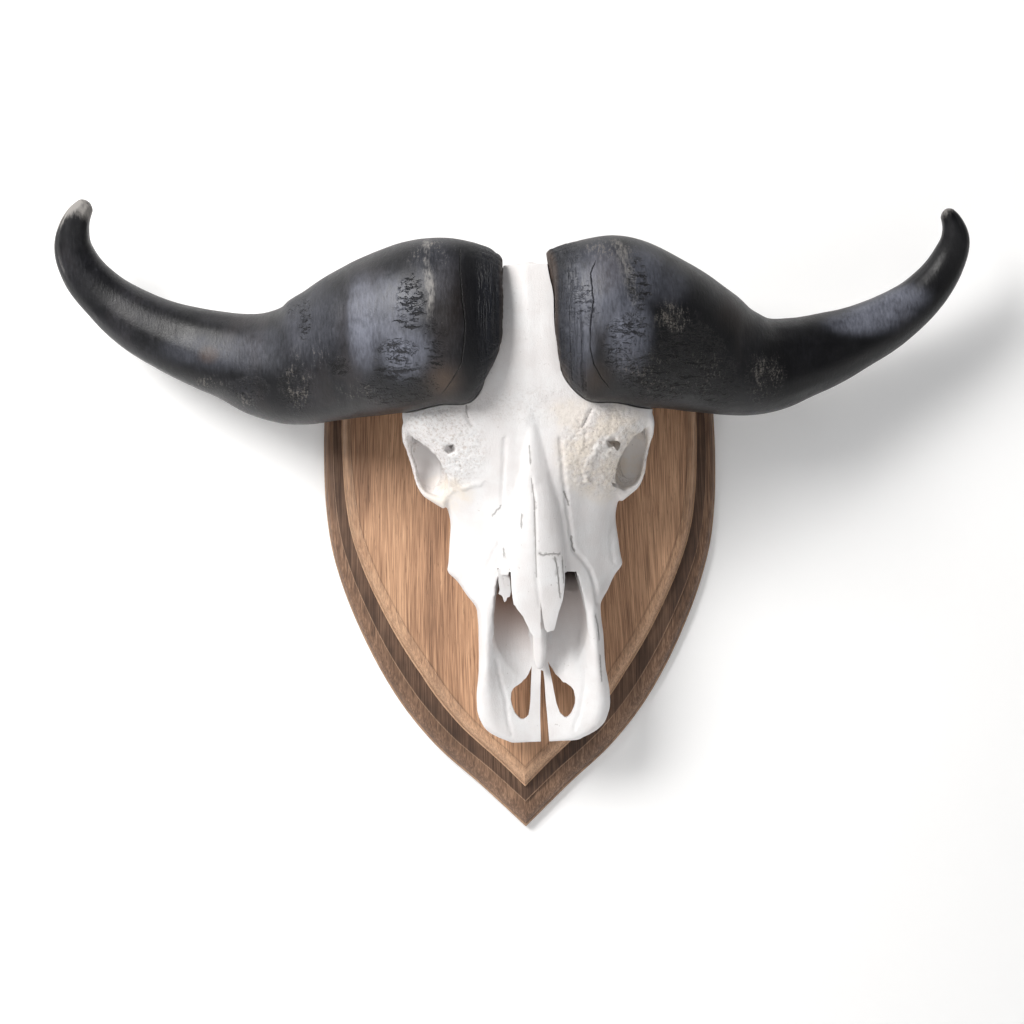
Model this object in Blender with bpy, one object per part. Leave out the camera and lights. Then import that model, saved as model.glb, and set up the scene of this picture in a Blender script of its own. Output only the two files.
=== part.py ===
# Cape buffalo skull with both horn sheaths, mounted on a two-tier wooden shield plaque.
# Metres, Z up, X to the viewer's right, the wall at Y = 0 and the viewer at -Y.
import math

import bmesh
import bpy
import numpy as np
from mathutils import Vector

for old in list(bpy.data.objects):
    bpy.data.objects.remove(old)

# Boards of the shield
FIT_GAP = 0.0003
BASE_THICK = 0.022
PANEL_THICK = 0.018
PANEL_BACK = BASE_THICK + FIT_GAP
PANEL_FRONT = PANEL_BACK + PANEL_THICK
SHIELD_TOP = 0.288
# Outline of one half of the lower board, from the tip to the shoulder: half width, height.
SHIELD_HALF = [
    (0.0, -0.298),
    (0.049, -0.251),
    (0.099, -0.2055),
    (0.1355, -0.1605),
    (0.1625, -0.1155),
    (0.184, -0.0705),
    (0.2015, -0.025),
    (0.2135, 0.0195),
    (0.2195, 0.07),
    (0.2207, 0.115),
    (0.2195, 0.165),
    (0.2165, 0.225),
    (0.2125, SHIELD_TOP),
]
# How far each moulding line lies inside the outline, by the height of the outline there.
LINE_HEIGHTS = [-0.30, -0.225, -0.145, -0.05, 0.045, 0.15, 0.29]
BASE_STEP_INSET = [0.0215, 0.021, 0.0195, 0.0165, 0.0125, 0.0108, 0.0108]
PANEL_EDGE_INSET = [0.033, 0.036, 0.0377, 0.0317, 0.0248, 0.0208, 0.0208]
PANEL_STEP_INSET = [0.0485, 0.051, 0.053, 0.0455, 0.037, 0.031, 0.031]
OUTLINE_SIDE_POINTS = 22
OUTLINE_TOP_POINTS = 7
BASE_EDGE_HEIGHT = 0.0095
BASE_FILLET = 0.0022
BASE_STEP_HEIGHT = 0.003
PANEL_EDGE_HEIGHT = 0.0035
PANEL_FILLET = 0.0018
PANEL_STEP_HEIGHT = 0.0014

# Skull
SKULL_TIP = (0.0222, -0.194)
SKULL_LEAN = math.radians(1.4)
SKULL_REST = PANEL_FRONT + FIT_GAP
# The right half of the face is a little narrower than the left, from the cheeks up.
RIGHT_SIDE = 0.93
CHEEK_FOOT = (0.12, 0.19)
SKULL_VOXEL = 0.0029
SKULL_KEEP = 0.040
SOCKET_GAP = 0.0006

# Right half of the bone's cross-sections, tip of the jaw to the back of the head. Each is a
# height along the skull and eight points from the middle of the face, round the side, to the
# middle of the palate: sideways, distance from the wall.
FACE_SECTIONS = [
    (-0.001, [(0, 0.083), (0.010, 0.084), (0.022, 0.085), (0.032, 0.084),
              (0.037, 0.081), (0.033, 0.078), (0.026, 0.0768), (0, 0.0768)]),
    (0.009, [(0, 0.084), (0.018, 0.086), (0.036, 0.089), (0.050, 0.089),
             (0.057, 0.084), (0.053, 0.079), (0.040, 0.0765), (0, 0.0765)]),
    (0.030, [(0, 0.084), (0.022, 0.087), (0.044, 0.092), (0.061, 0.096),
             (0.0715, 0.088), (0.067, 0.080), (0.052, 0.0765), (0, 0.0765)]),
    (0.050, [(0, 0.085), (0.022, 0.088), (0.046, 0.095), (0.063, 0.101),
             (0.073, 0.092), (0.069, 0.081), (0.055, 0.077), (0, 0.0765)]),
    (0.080, [(0, 0.088), (0.024, 0.092), (0.048, 0.104), (0.062, 0.112),
             (0.0705, 0.100), (0.068, 0.083), (0.055, 0.078), (0, 0.077)]),
    (0.110, [(0, 0.093), (0.026, 0.099), (0.046, 0.113), (0.060, 0.122),
             (0.0695, 0.106), (0.067, 0.085), (0.055, 0.078), (0, 0.077)]),
    (0.140, [(0, 0.108), (0.028, 0.114), (0.044, 0.126), (0.058, 0.130),
             (0.069, 0.108), (0.068, 0.086), (0.056, 0.078), (0, 0.077)]),
    (0.160, [(0, 0.135), (0.026, 0.136), (0.044, 0.136), (0.060, 0.130),
             (0.080, 0.104), (0.078, 0.086), (0.058, 0.077), (0, 0.076)]),
    (0.185, [(0, 0.158), (0.026, 0.153), (0.046, 0.141), (0.070, 0.124),
             (0.099, 0.101), (0.094, 0.088), (0.064, 0.076), (0, 0.075)]),
    (0.215, [(0, 0.168), (0.028, 0.161), (0.050, 0.146), (0.076, 0.128),
             (0.095, 0.108), (0.092, 0.090), (0.066, 0.075), (0, 0.074)]),
    (0.245, [(0, 0.176), (0.028, 0.168), (0.053, 0.152), (0.079, 0.136),
             (0.092, 0.116), (0.090, 0.093), (0.066, 0.075), (0, 0.074)]),
    (0.268, [(0, 0.182), (0.029, 0.175), (0.057, 0.161), (0.083, 0.149),
             (0.097, 0.130), (0.092, 0.100), (0.062, 0.076), (0, 0.075)]),
    (0.295, [(0, 0.188), (0.034, 0.185), (0.064, 0.177), (0.090, 0.166),
             (0.102, 0.152), (0.080, 0.120), (0.052, 0.080), (0, 0.078)]),
    (0.320, [(0, 0.194), (0.040, 0.193), (0.074, 0.189), (0.100, 0.180),
             (0.113, 0.166), (0.078, 0.130), (0.045, 0.085), (0, 0.082)]),
    (0.345, [(0, 0.200), (0.046, 0.200), (0.086, 0.196), (0.116, 0.186),
             (0.130, 0.168), (0.080, 0.135), (0.042, 0.090), (0, 0.086)]),
    (0.370, [(0, 0.207), (0.044, 0.205), (0.080, 0.199), (0.110, 0.186),
             (0.118, 0.166), (0.078, 0.135), (0.042, 0.090), (0, 0.084)]),
    (0.400, [(0, 0.215), (0.040, 0.211), (0.070, 0.200), (0.090, 0.180),
             (0.092, 0.160), (0.076, 0.130), (0.042, 0.085), (0, 0.080)]),
    (0.440, [(0, 0.221), (0.038, 0.216), (0.062, 0.202), (0.080, 0.180),
             (0.080, 0.155), (0.070, 0.120), (0.040, 0.082), (0, 0.078)]),
    (0.480, [(0, 0.220), (0.036, 0.214), (0.060, 0.200), (0.074, 0.178),
             (0.074, 0.155), (0.062, 0.125), (0.038, 0.100), (0, 0.092)]),
    (0.508, [(0, 0.214), (0.034, 0.209), (0.054, 0.196), (0.066, 0.178),
             (0.066, 0.160), (0.056, 0.140), (0.034, 0.125), (0, 0.120)]),
]
# Roof of the nose: height, half width, distance of the ridge from the wall, thickness.
NASAL_RIDGE = [
    (0.148, 0.0210, 0.1530, 0.0040),
    (0.154, 0.0255, 0.1560, 0.0065),
    (0.168, 0.0285, 0.1610, 0.0090),
    (0.190, 0.0310, 0.168, 0.013),
    (0.230, 0.0310, 0.180, 0.022),
    (0.285, 0.0260, 0.193, 0.028),
    (0.330, 0.0170, 0.200, 0.028),
    (0.360, 0.0090, 0.203, 0.024),
]
# The two split tips of the nasal bones, a broken splinter beside them and the bony tongue
# behind: sideways, wall distance, height, half width, half depth.
LEFT_NASAL_TIP = [
    (-0.0135, 0.1525, 0.168, 0.0135, 0.0065),
    (-0.0133, 0.1500, 0.152, 0.0130, 0.0055),
    (-0.0110, 0.1465, 0.134, 0.0095, 0.0050),
    (-0.0078, 0.1430, 0.116, 0.0045, 0.0035),
]
RIGHT_NASAL_TIP = [
    (0.0150, 0.1525, 0.168, 0.0135, 0.0065),
    (0.0148, 0.1500, 0.154, 0.0125, 0.0055),
    (0.0128, 0.1470, 0.138, 0.0095, 0.0050),
    (0.0100, 0.1440, 0.121, 0.0050, 0.0035),
]
SPLINTER = [
    (-0.0370, 0.1480, 0.196, 0.0075, 0.0040),
    (-0.0375, 0.1400, 0.176, 0.0065, 0.0030),
    (-0.0370, 0.1350, 0.162, 0.0050, 0.0025),
    (-0.0360, 0.1320, 0.151, 0.0015, 0.0015),
]
TONGUE = [
    (0.0, 0.1000, 0.082, 0.0030, 0.0030),
    (0.0, 0.1050, 0.095, 0.0065, 0.0040),
    (0.0, 0.1110, 0.122, 0.0075, 0.0060),
    (0.0, 0.1240, 0.160, 0.0050, 0.0120),
]
# Lower rim of the eye socket and the cheek arch: sideways, wall distance, height, half width
# across the view, half depth.
ORBIT_RIM = [
    (0.090, 0.128, 0.262, 0.0095, 0.012),
    (0.107, 0.127, 0.270, 0.0075, 0.010),
    (0.1190, 0.1270, 0.285, 0.0050, 0.009),
    (0.1260, 0.1300, 0.308, 0.0045, 0.009),
    (0.1290, 0.1420, 0.332, 0.0070, 0.012),
    (0.1220, 0.1640, 0.350, 0.0100, 0.014),
]
CHEEK_ARCH = [
    (0.114, 0.120, 0.284, 0.006, 0.012),
    (0.125, 0.114, 0.316, 0.006, 0.012),
    (0.124, 0.107, 0.356, 0.006, 0.011),
    (0.113, 0.105, 0.394, 0.0065, 0.011),
    (0.094, 0.110, 0.424, 0.009, 0.013),
    (0.064, 0.118, 0.438, 0.013, 0.016),
]
# Bony column beside the ear that reaches down to the board.
EAR_COLUMN = [
    (0.052, 0.110, 0.436, 0.015, 0.014),
    (0.056, 0.078, 0.436, 0.010, 0.012),
    (0.057, 0.052, 0.433, 0.006, 0.008),
]
PALATE_WING = [
    (0.027, 0.100, 0.372, 0.004, 0.020),
    (0.025, 0.082, 0.345, 0.0035, 0.016),
    (0.026, 0.074, 0.312, 0.005, 0.012),
]
TOOTH_ROW = (0.164, 0.304)
TOOTH_COUNT = 6
TOOTH_SIDE = 0.056
TOOTH_WIDTH = 0.023

# Horns
# Stations from the boss edge to the tip: sideways, height, half height, nearest to the wall,
# nearest to the viewer.
HORN_LEFT = [
    (-0.0145, 0.2625, 0.0590, 0.174, 0.242),
    (-0.0300, 0.2585, 0.0745, 0.168, 0.254),
    (-0.0500, 0.2540, 0.0835, 0.160, 0.263),
    (-0.0820, 0.2565, 0.0870, 0.145, 0.267),
    (-0.1140, 0.2525, 0.0885, 0.126, 0.262),
    (-0.1460, 0.2455, 0.0845, 0.109, 0.249),
    (-0.1780, 0.2365, 0.0785, 0.095, 0.231),
    (-0.2110, 0.2265, 0.0715, 0.083, 0.209),
    (-0.2450, 0.2195, 0.0655, 0.073, 0.187),
    (-0.2790, 0.2225, 0.0570, 0.065, 0.166),
    (-0.3130, 0.2320, 0.0480, 0.058, 0.147),
    (-0.3470, 0.2425, 0.0435, 0.053, 0.134),
    (-0.3800, 0.2550, 0.0385, 0.051, 0.126),
    (-0.4130, 0.2720, 0.0345, 0.051, 0.121),
    (-0.4450, 0.2960, 0.0290, 0.057, 0.118),
    (-0.4710, 0.3260, 0.0250, 0.069, 0.121),
    (-0.4800, 0.3570, 0.0205, 0.087, 0.129),
    (-0.4720, 0.3810, 0.0140, 0.104, 0.136),
    (-0.4600, 0.3960, 0.0080, 0.119, 0.138),
]
HORN_RIGHT = [
    (0.0380, 0.2630, 0.0600, 0.174, 0.242),
    (0.0520, 0.2590, 0.0750, 0.167, 0.255),
    (0.0700, 0.2550, 0.0840, 0.157, 0.264),
    (0.1000, 0.2560, 0.0870, 0.140, 0.267),
    (0.1300, 0.2510, 0.0870, 0.120, 0.258),
    (0.1650, 0.2400, 0.0785, 0.101, 0.240),
    (0.2040, 0.2245, 0.0680, 0.085, 0.212),
    (0.2370, 0.2135, 0.0585, 0.075, 0.188),
    (0.2710, 0.2110, 0.0520, 0.067, 0.167),
    (0.3060, 0.2190, 0.0450, 0.060, 0.149),
    (0.3400, 0.2300, 0.0405, 0.055, 0.137),
    (0.3730, 0.2430, 0.0350, 0.053, 0.129),
    (0.4070, 0.2600, 0.0305, 0.054, 0.123),
    (0.4400, 0.2840, 0.0250, 0.061, 0.119),
    (0.4660, 0.3170, 0.0205, 0.074, 0.122),
    (0.4740, 0.3440, 0.0165, 0.092, 0.130),
    (0.4680, 0.3630, 0.0110, 0.108, 0.137),
    (0.4600, 0.3740, 0.0070, 0.119, 0.138),
]
HORN_RINGS = 36
HORN_SIDES = 18
HORN_SQUARENESS = 2.25
BOSS_UPRIGHT = (0.05, 0.20)
HORN_END_STEPS = [(0.0, 0.80), (0.0012, 0.90), (0.0045, 0.965)]
HORN_TIP_STEPS = [(0.0025, 0.80), (0.0042, 0.45)]


def spline(points, count, knots=None):
    """Smooth curve through the points (Catmull-Rom), given back at evenly spaced parameters."""
    points = np.array(points, float)
    if knots is None:
        steps = np.linalg.norm(np.diff(points, axis=0), axis=1)
        knots = np.concatenate([[0], np.cumsum(steps)])
    knots = np.array(knots, float)
    slopes = np.gradient(points, knots, axis=0)
    at = np.linspace(knots[0], knots[-1], count)
    cell = np.clip(np.searchsorted(knots, at, side="right") - 1, 0, len(knots) - 2)
    span = (knots[cell + 1] - knots[cell])[:, None]
    t = (at - knots[cell])[:, None] / span
    p0, p1, m0, m1 = points[cell], points[cell + 1], slopes[cell] * span, slopes[cell + 1] * span
    return ((2 * t**3 - 3 * t**2 + 1) * p0 + (t**3 - 2 * t**2 + t) * m0
            + (3 * t**2 - 2 * t**3) * p1 + (t**3 - t**2) * m1)


def skin(rings, flip=False):
    """Closed mesh over a stack of rings of equal length, with a flat cap at each end."""
    mesh = bmesh.new()
    rows = [[mesh.verts.new(point) for point in ring] for ring in rings]
    count = len(rows[0])
    for low, high in zip(rows, rows[1:]):
        for i in range(count):
            j = (i + 1) % count
            mesh.faces.new((low[i], low[j], high[j]))
            mesh.faces.new((low[i], high[j], high[i]))
    mesh.faces.new(rows[0][::-1])
    mesh.faces.new(rows[-1])
    bmesh.ops.recalc_face_normals(mesh, faces=mesh.faces)
    return mesh


def as_object(name, mesh):
    data = bpy.data.meshes.new(name)
    mesh.to_mesh(data)
    mesh.free()
    obj = bpy.data.objects.new(name, data)
    bpy.context.scene.collection.objects.link(obj)
    return obj


def finish(obj, name, colour, roughness, metallic=0.0):
    material = bpy.data.materials.new(name)
    material.use_nodes = True
    shader = material.node_tree.nodes["Principled BSDF"]
    shader.inputs["Base Color"].default_value = (*colour, 1)
    shader.inputs["Roughness"].default_value = roughness
    shader.inputs["Metallic"].default_value = metallic
    obj.data.materials.append(material)


# Shield boards
def shield_line(insets):
    """Closed outline of a board line lying inside the shield's edge by the given insets."""
    side = spline(SHIELD_HALF, 400)
    along = np.gradient(side, axis=0)
    inward = np.stack([-along[:, 1], along[:, 0]], axis=1)
    inward /= np.linalg.norm(inward, axis=1)[:, None]
    width = np.interp(side[:, 1], LINE_HEIGHTS, insets)
    inner = side + inward * width[:, None]
    top = SHIELD_TOP - width[-1]
    inner = inner[(inner[:, 0] > 0) & (inner[:, 1] < top)]
    slope = (inner[1] - inner[0]) / (inner[1, 0] - inner[0, 0])
    tip = inner[0] - slope * inner[0, 0]
    shoulder = inner[-1] + (inner[-1] - inner[-2]) * (top - inner[-1, 1]) / (inner[-1, 1] - inner[-2, 1])
    inner = np.vstack([tip, inner, shoulder])
    run = np.concatenate([[0], np.cumsum(np.linalg.norm(np.diff(inner, axis=0), axis=1))])
    even = np.linspace(0, run[-1], OUTLINE_SIDE_POINTS)
    right = np.stack([np.interp(even, run, inner[:, 0]), np.interp(even, run, inner[:, 1])], axis=1)
    across = np.linspace(1, -1, OUTLINE_TOP_POINTS)[1:-1]
    edge = np.stack([across * shoulder[0], np.full(len(across), top)], axis=1)
    left = right[:0:-1] * (-1, 1)
    return np.vstack([right, edge, left])


def board(name, back, thick, edge_insets, step_insets, edge_height, fillet, step_height):
    """Flat board with a square edge, a small fillet, a rounded moulding and a stepped face."""
    outer = shield_line(edge_insets)
    inner = shield_line(step_insets)
    step_foot = back + thick - step_height
    levels = [(0.0, back), (0.0, back + edge_height)]
    width = np.linalg.norm(inner - outer, axis=1).mean()
    start = fillet / width
    for angle in np.radians([0, 25, 50, 72, 90]):
        blend = start + (1 - start) * (1 - math.cos(angle))
        levels.append((blend, back + edge_height + (step_foot - back - edge_height) * math.sin(angle)))
    levels[2] = (start, back + edge_height)
    levels.append((1.0, back + thick))
    rings = []
    for blend, out in levels:
        line = outer * (1 - blend) + inner * blend
        rings.append([(x, -out, z) for x, z in line])
    return as_object(name, skin(rings))


zero_inset = [0.0] * len(LINE_HEIGHTS)
plaque_base = board("plaque_base", 0.0, BASE_THICK, zero_inset, BASE_STEP_INSET,
                    BASE_EDGE_HEIGHT, BASE_FILLET, BASE_STEP_HEIGHT)
finish(plaque_base, "plaque base wood", (0.27, 0.16, 0.10), 0.5)
plaque_panel = board("plaque_panel", PANEL_BACK, PANEL_THICK, PANEL_EDGE_INSET, PANEL_STEP_INSET,
                     PANEL_EDGE_HEIGHT, PANEL_FILLET, PANEL_STEP_HEIGHT)
finish(plaque_panel, "plaque panel wood", (0.31, 0.18, 0.11), 0.5)


# Horn sheaths
def horn_mesh(stations, grow=0.0):
    """Horn as a tube of upright oval sections; grow makes it fatter all round."""
    path = spline(stations, HORN_RINGS)
    along = np.gradient(path[:, :2], axis=0)
    along /= np.linalg.norm(along, axis=1)[:, None]
    # The sections stand upright over the boss and lean with the horn only past it.
    sideways = np.abs(path[:, 0]) - abs(path[0, 0])
    lean = np.clip((sideways - BOSS_UPRIGHT[0]) / (BOSS_UPRIGHT[1] - BOSS_UPRIGHT[0]), 0, 1)
    lean = (lean * lean * (3 - 2 * lean))[:, None]
    along = along * lean + np.array([math.copysign(1, stations[0][0]), 0]) * (1 - lean)
    along /= np.linalg.norm(along, axis=1)[:, None]
    rows = [(*row, *way) for row, way in zip(path, along)]
    first, last = rows[0], rows[-1]

    def moved(row, distance, scale):
        x, z, half, near_wall, near_eye, ax, az = row
        middle = (near_wall + near_eye) / 2
        return (x + ax * distance, z + az * distance, half * scale,
                middle + (near_wall - middle) * scale, middle + (near_eye - middle) * scale, ax, az)

    start = [moved(first, distance, scale) for distance, scale in HORN_END_STEPS]
    start[0] = moved(first, -grow, HORN_END_STEPS[0][1])
    end = [moved(last, distance + grow, scale) for distance, scale in HORN_TIP_STEPS]
    rows = start + [row for row in rows[1:]] + end
    rings = []
    for x, z, half, near_wall, near_eye, ax, az in rows:
        middle, deep = (near_wall + near_eye) / 2, (near_eye - near_wall) / 2 + grow
        ring = []
        for turn in np.linspace(0, 2 * math.pi, HORN_SIDES, endpoint=False):
            c, s = math.cos(turn), math.sin(turn)
            u = math.copysign(abs(c) ** (2 / HORN_SQUARENESS), c) * (half + grow)
            v = math.copysign(abs(s) ** (2 / HORN_SQUARENESS), s) * deep
            ring.append((x - az * u, -(middle + v), z + ax * u))
        rings.append(ring)
    return skin(rings)


horns = []
for horn_name, horn_stations in (("horn_left", HORN_LEFT), ("horn_right", HORN_RIGHT)):
    horn = as_object(horn_name, horn_mesh(horn_stations))
    finish(horn, horn_name + " keratin", (0.03, 0.03, 0.035), 0.35)
    horns.append(horn)


# Bone of the skull
def place(x, out, z):
    """Point of the skull, given sideways, from the wall and along the skull, in the frame."""
    c, s = math.cos(SKULL_LEAN), math.sin(SKULL_LEAN)
    if x > 0:
        above = min(max((z - CHEEK_FOOT[0]) / (CHEEK_FOOT[1] - CHEEK_FOOT[0]), 0.0), 1.0)
        x *= 1 - (1 - RIGHT_SIDE) * above
    return Vector((SKULL_TIP[0] + x * c - z * s, -out, SKULL_TIP[1] + x * s + z * c))


def face_loft():
    heights = [height for height, _ in FACE_SECTIONS]
    flat = np.array([np.array(points).ravel() for _, points in FACE_SECTIONS])
    even = np.linspace(heights[0], heights[-1], 110)
    knots = np.array(heights)
    dense = spline(flat, len(even), knots)
    rings = []
    for z, row in zip(even, dense):
        half = row.reshape(-1, 2)
        mirrored = half[-2:0:-1] * (-1, 1)
        loop = np.vstack([half, mirrored, half[:1]])
        loop = spline(loop, 57)[:-1]
        rings.append([place(x, out, z) for x, out in loop])
    return skin(rings)


def tube(stations, mirror=1, sides=12, count=24):
    """Bony bar of oval section along a path: sideways, out, height, half width, half depth."""
    path = spline(stations, count)
    along = np.gradient(path[:, :3], axis=0)
    along /= np.linalg.norm(along, axis=1)[:, None]
    rings = []
    for (x, out, z, wide, deep), way in zip(path, along):
        across = np.cross(way, (0, 1, 0))
        if np.linalg.norm(across) < 0.3:
            across = np.array((1.0, 0, 0))
        across = across / np.linalg.norm(across)
        other = np.cross(across, way)
        ring = []
        for turn in np.linspace(0, 2 * math.pi, sides, endpoint=False):
            spot = np.array((x, out, z)) + across * wide * math.cos(turn) + other * deep * math.sin(turn)
            ring.append(place(mirror * spot[0], spot[1], spot[2]))
        rings.append(ring)
    return skin(rings)


def lump(centre, radii, turn=0.0, mirror=1):
    """Rounded knob; turn tips it in the plane of the face."""
    mesh = bmesh.new()
    bmesh.ops.create_icosphere(mesh, subdivisions=3, radius=1)
    for vert in mesh.verts:
        x, out, z = (vert.co[i] * radii[i] for i in range(3))
        c, s = math.cos(turn), math.sin(turn)
        x, z = x * c - z * s, x * s + z * c
        vert.co = place(mirror * (centre[0] + x), centre[1] + out, centre[2] + z)
    bmesh.ops.recalc_face_normals(mesh, faces=mesh.faces)
    return mesh


def wedge(rows):
    """Cutter or plate from rows of (height, left, right, back, front)."""
    rings = []
    for z, left, right, back, front in rows:
        rings.append([place(left, back, z), place(right, back, z),
                      place(right, front, z), place(left, front, z)])
    return skin(rings)


def nasal_loft():
    """Pair of nasal bones: a rounded roof that narrows to the split tips."""
    rings = []
    for z, wide, ridge, thick in spline(NASAL_RIDGE, 30):
        ring = []
        for turn in np.linspace(0, math.pi, 9):
            ring.append(place(wide * math.cos(turn), ridge - thick + thick * math.sin(turn), z))
        ring.append(place(-wide * 0.55, ridge - thick - 0.003, z))
        ring.append(place(wide * 0.55, ridge - thick - 0.003, z))
        rings.append(ring)
    return skin(rings)


def joined(name, meshes):
    whole = bmesh.new()
    for mesh in meshes:
        data = bpy.data.meshes.new("piece")
        mesh.to_mesh(data)
        mesh.free()
        whole.from_mesh(data)
        bpy.data.meshes.remove(data)
    return as_object(name, whole)


bones = [face_loft()]
teeth = []
for side in (1, -1):
    bones += [tube(ORBIT_RIM, side), tube(CHEEK_ARCH, side), tube(EAR_COLUMN, side)]
    bones.append(tube(PALATE_WING, side, sides=10, count=14))
    bones.append(lump((0.094, 0.124, 0.305), (0.037, 0.026, 0.044), 0, side))
    bones.append(lump((0.027, 0.087, 0.470), (0.016, 0.022, 0.018), 0.3, side))
    bones.append(lump((0.043, 0.090, 0.404), (0.014, 0.017, 0.019), 0, side))
    pitch = (TOOTH_ROW[1] - TOOTH_ROW[0]) / TOOTH_COUNT
    for number in range(TOOTH_COUNT):
        low = TOOTH_ROW[0] + pitch * number
        half = TOOTH_WIDTH / 2 * (0.78 + 0.05 * number)
        middle = TOOTH_SIDE + 0.003 * math.sin(math.pi * (number + 0.5) / TOOTH_COUNT)
        side_a, side_b = side * (middle - half), side * (middle + half)
        block = [(low + 0.0016, side_a * 0.985, side_b * 0.985, SKULL_REST + 0.002, 0.086),
                 (low + pitch * 0.5, side_a, side_b, SKULL_REST, 0.086),
                 (low + pitch - 0.0016, side_a * 0.985, side_b * 0.985, SKULL_REST + 0.002, 0.086)]
        teeth.append(wedge(block))
bones.append(lump((0, 0.178, 0.504), (0.020, 0.020, 0.010)))

def oval_shaft(rows, sides=20):
    """Cutter of oval sections across the skull: height, half width, lowest, highest."""
    rings = []
    for z, wide, low, high in rows:
        ring = []
        for turn in np.linspace(0, 2 * math.pi, sides, endpoint=False):
            c, s = math.cos(turn), math.sin(turn)
            x = math.copysign(abs(c) ** 0.75, c) * wide
            out = (low + high) / 2 + math.copysign(abs(s) ** 0.75, s) * (high - low) / 2
            ring.append(place(x, out, z))
        rings.append(ring)
    return skin(rings)


# Open nose: the trough between the jaw bones, then the tunnel under the nasal bones.
cavity = [
    oval_shaft([(0.052, 0.018, 0.089, 0.20), (0.062, 0.035, 0.0865, 0.20), (0.082, 0.048, 0.085, 0.20),
                (0.103, 0.055, 0.085, 0.20), (0.135, 0.0545, 0.087, 0.20), (0.160, 0.051, 0.090, 0.20),
                (0.180, 0.047, 0.094, 0.20), (0.186, 0.040, 0.100, 0.20)]),
    oval_shaft([(0.165, 0.044, 0.092, 0.150), (0.200, 0.040, 0.092, 0.146), (0.250, 0.034, 0.092, 0.146),
                (0.285, 0.022, 0.096, 0.136)]),
]
eye_hollows = []
for side in (1, -1):
    eye_hollows.append(lump((0.103, 0.138, 0.307), (0.025, 0.027, 0.031), 0, side))
    eye_hollows.append(lump((0.098, 0.112, 0.386), (0.030, 0.042, 0.036), 0, side))
    eye_hollows.append(lump((0.088, 0.188, 0.320), (0.0065, 0.016, 0.0055), 0, side))
# Slits right through the front of the palate and the gap between the two jaw tips.
palate_slots = []
for side, low, high in ((-1, 0.0255, 0.082), (1, 0.0275, 0.083)):
    rows = []
    for step in np.linspace(-1, 1, 11):
        half = 0.0102 * math.sqrt(max(0.0, 1.0 - step * step)) * (1 - 0.35 * step) + 0.0004
        middle = 0.0228 - 0.0070 * max(step, 0.0) ** 1.5
        z = (low + high) / 2 + (high - low) / 2 * step
        rows.append((z, side * middle - half, side * middle + half, 0.065, 0.125))
    palate_slots.append(wedge(rows))
palate_slots.append(wedge([(-0.01, -0.0044, 0.0044, 0.065, 0.125), (0.030, -0.0034, 0.0034, 0.065, 0.125),
                           (0.076, -0.0018, 0.0018, 0.065, 0.125)]))
underside = [
    lump((0, 0.104, 0.500), (0.018, 0.017, 0.036)),
    lump((0, 0.078, 0.330), (0.017, 0.026, 0.040)),
    lump((0, 0.068, 0.225), (0.036, 0.014, 0.070)),
]

skull = joined("skull", bones)
finish(skull, "bleached bone", (0.86, 0.84, 0.80), 0.6)


def remesh(obj, name, size):
    step = obj.modifiers.new(name, "REMESH")
    step.mode = "VOXEL"
    step.voxel_size = size
    step.adaptivity = 0.0


def cut(obj, cutter, name, operation="DIFFERENCE", solver="EXACT"):
    cutter.hide_render = True
    cutter.display_type = "WIRE"
    step = obj.modifiers.new(name, "BOOLEAN")
    step.operation = operation
    step.solver = solver
    step.object = cutter


remesh(skull, "fuse the bones", SKULL_VOXEL)
hollow_groups = {"nose": cavity, "eyes": eye_hollows, "underside": underside}
for group_name, group in hollow_groups.items():
    cutter = joined(group_name + " hollow", group)
    remesh(cutter, "fuse", 0.002)
    cut(skull, cutter, "hollow " + group_name)
# The nasal roof, the septum and the teeth come after the hollows, so that they are not cut.
late = joined("late bones", [nasal_loft(), tube(LEFT_NASAL_TIP), tube(RIGHT_NASAL_TIP),
                             tube(SPLINTER), tube(TONGUE)] + teeth + [
    wedge([(0.150, -0.0030, 0.0030, 0.084, 0.140), (0.290, -0.0030, 0.0030, 0.086, 0.160)])])
remesh(late, "fuse", 0.002)
cut(skull, late, "add roof and teeth", "UNION")
remesh(skull, "fuse again", SKULL_VOXEL)
soften = skull.modifiers.new("soften", "SMOOTH")
soften.factor = 0.5
soften.iterations = 2
thin = skull.modifiers.new("fewer faces", "DECIMATE")
thin.ratio = SKULL_KEEP
thin.use_collapse_triangulate = True

for number, slot in enumerate(palate_slots):
    cut(skull, as_object(f"palate slot {number}", slot), f"palate slot {number}")

# The bone is hollowed where each horn sits on it, with a small gap left all round.
for side_name, side_stations in (("left", HORN_LEFT), ("right", HORN_RIGHT)):
    seat = as_object("seat " + side_name, horn_mesh(side_stations, SOCKET_GAP))
    cut(skull, seat, "seat for the " + side_name + " horn", solver="MANIFOLD")
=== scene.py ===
import itertools
import math

import bpy
import numpy as np
from mathutils import Matrix, Vector


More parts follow.
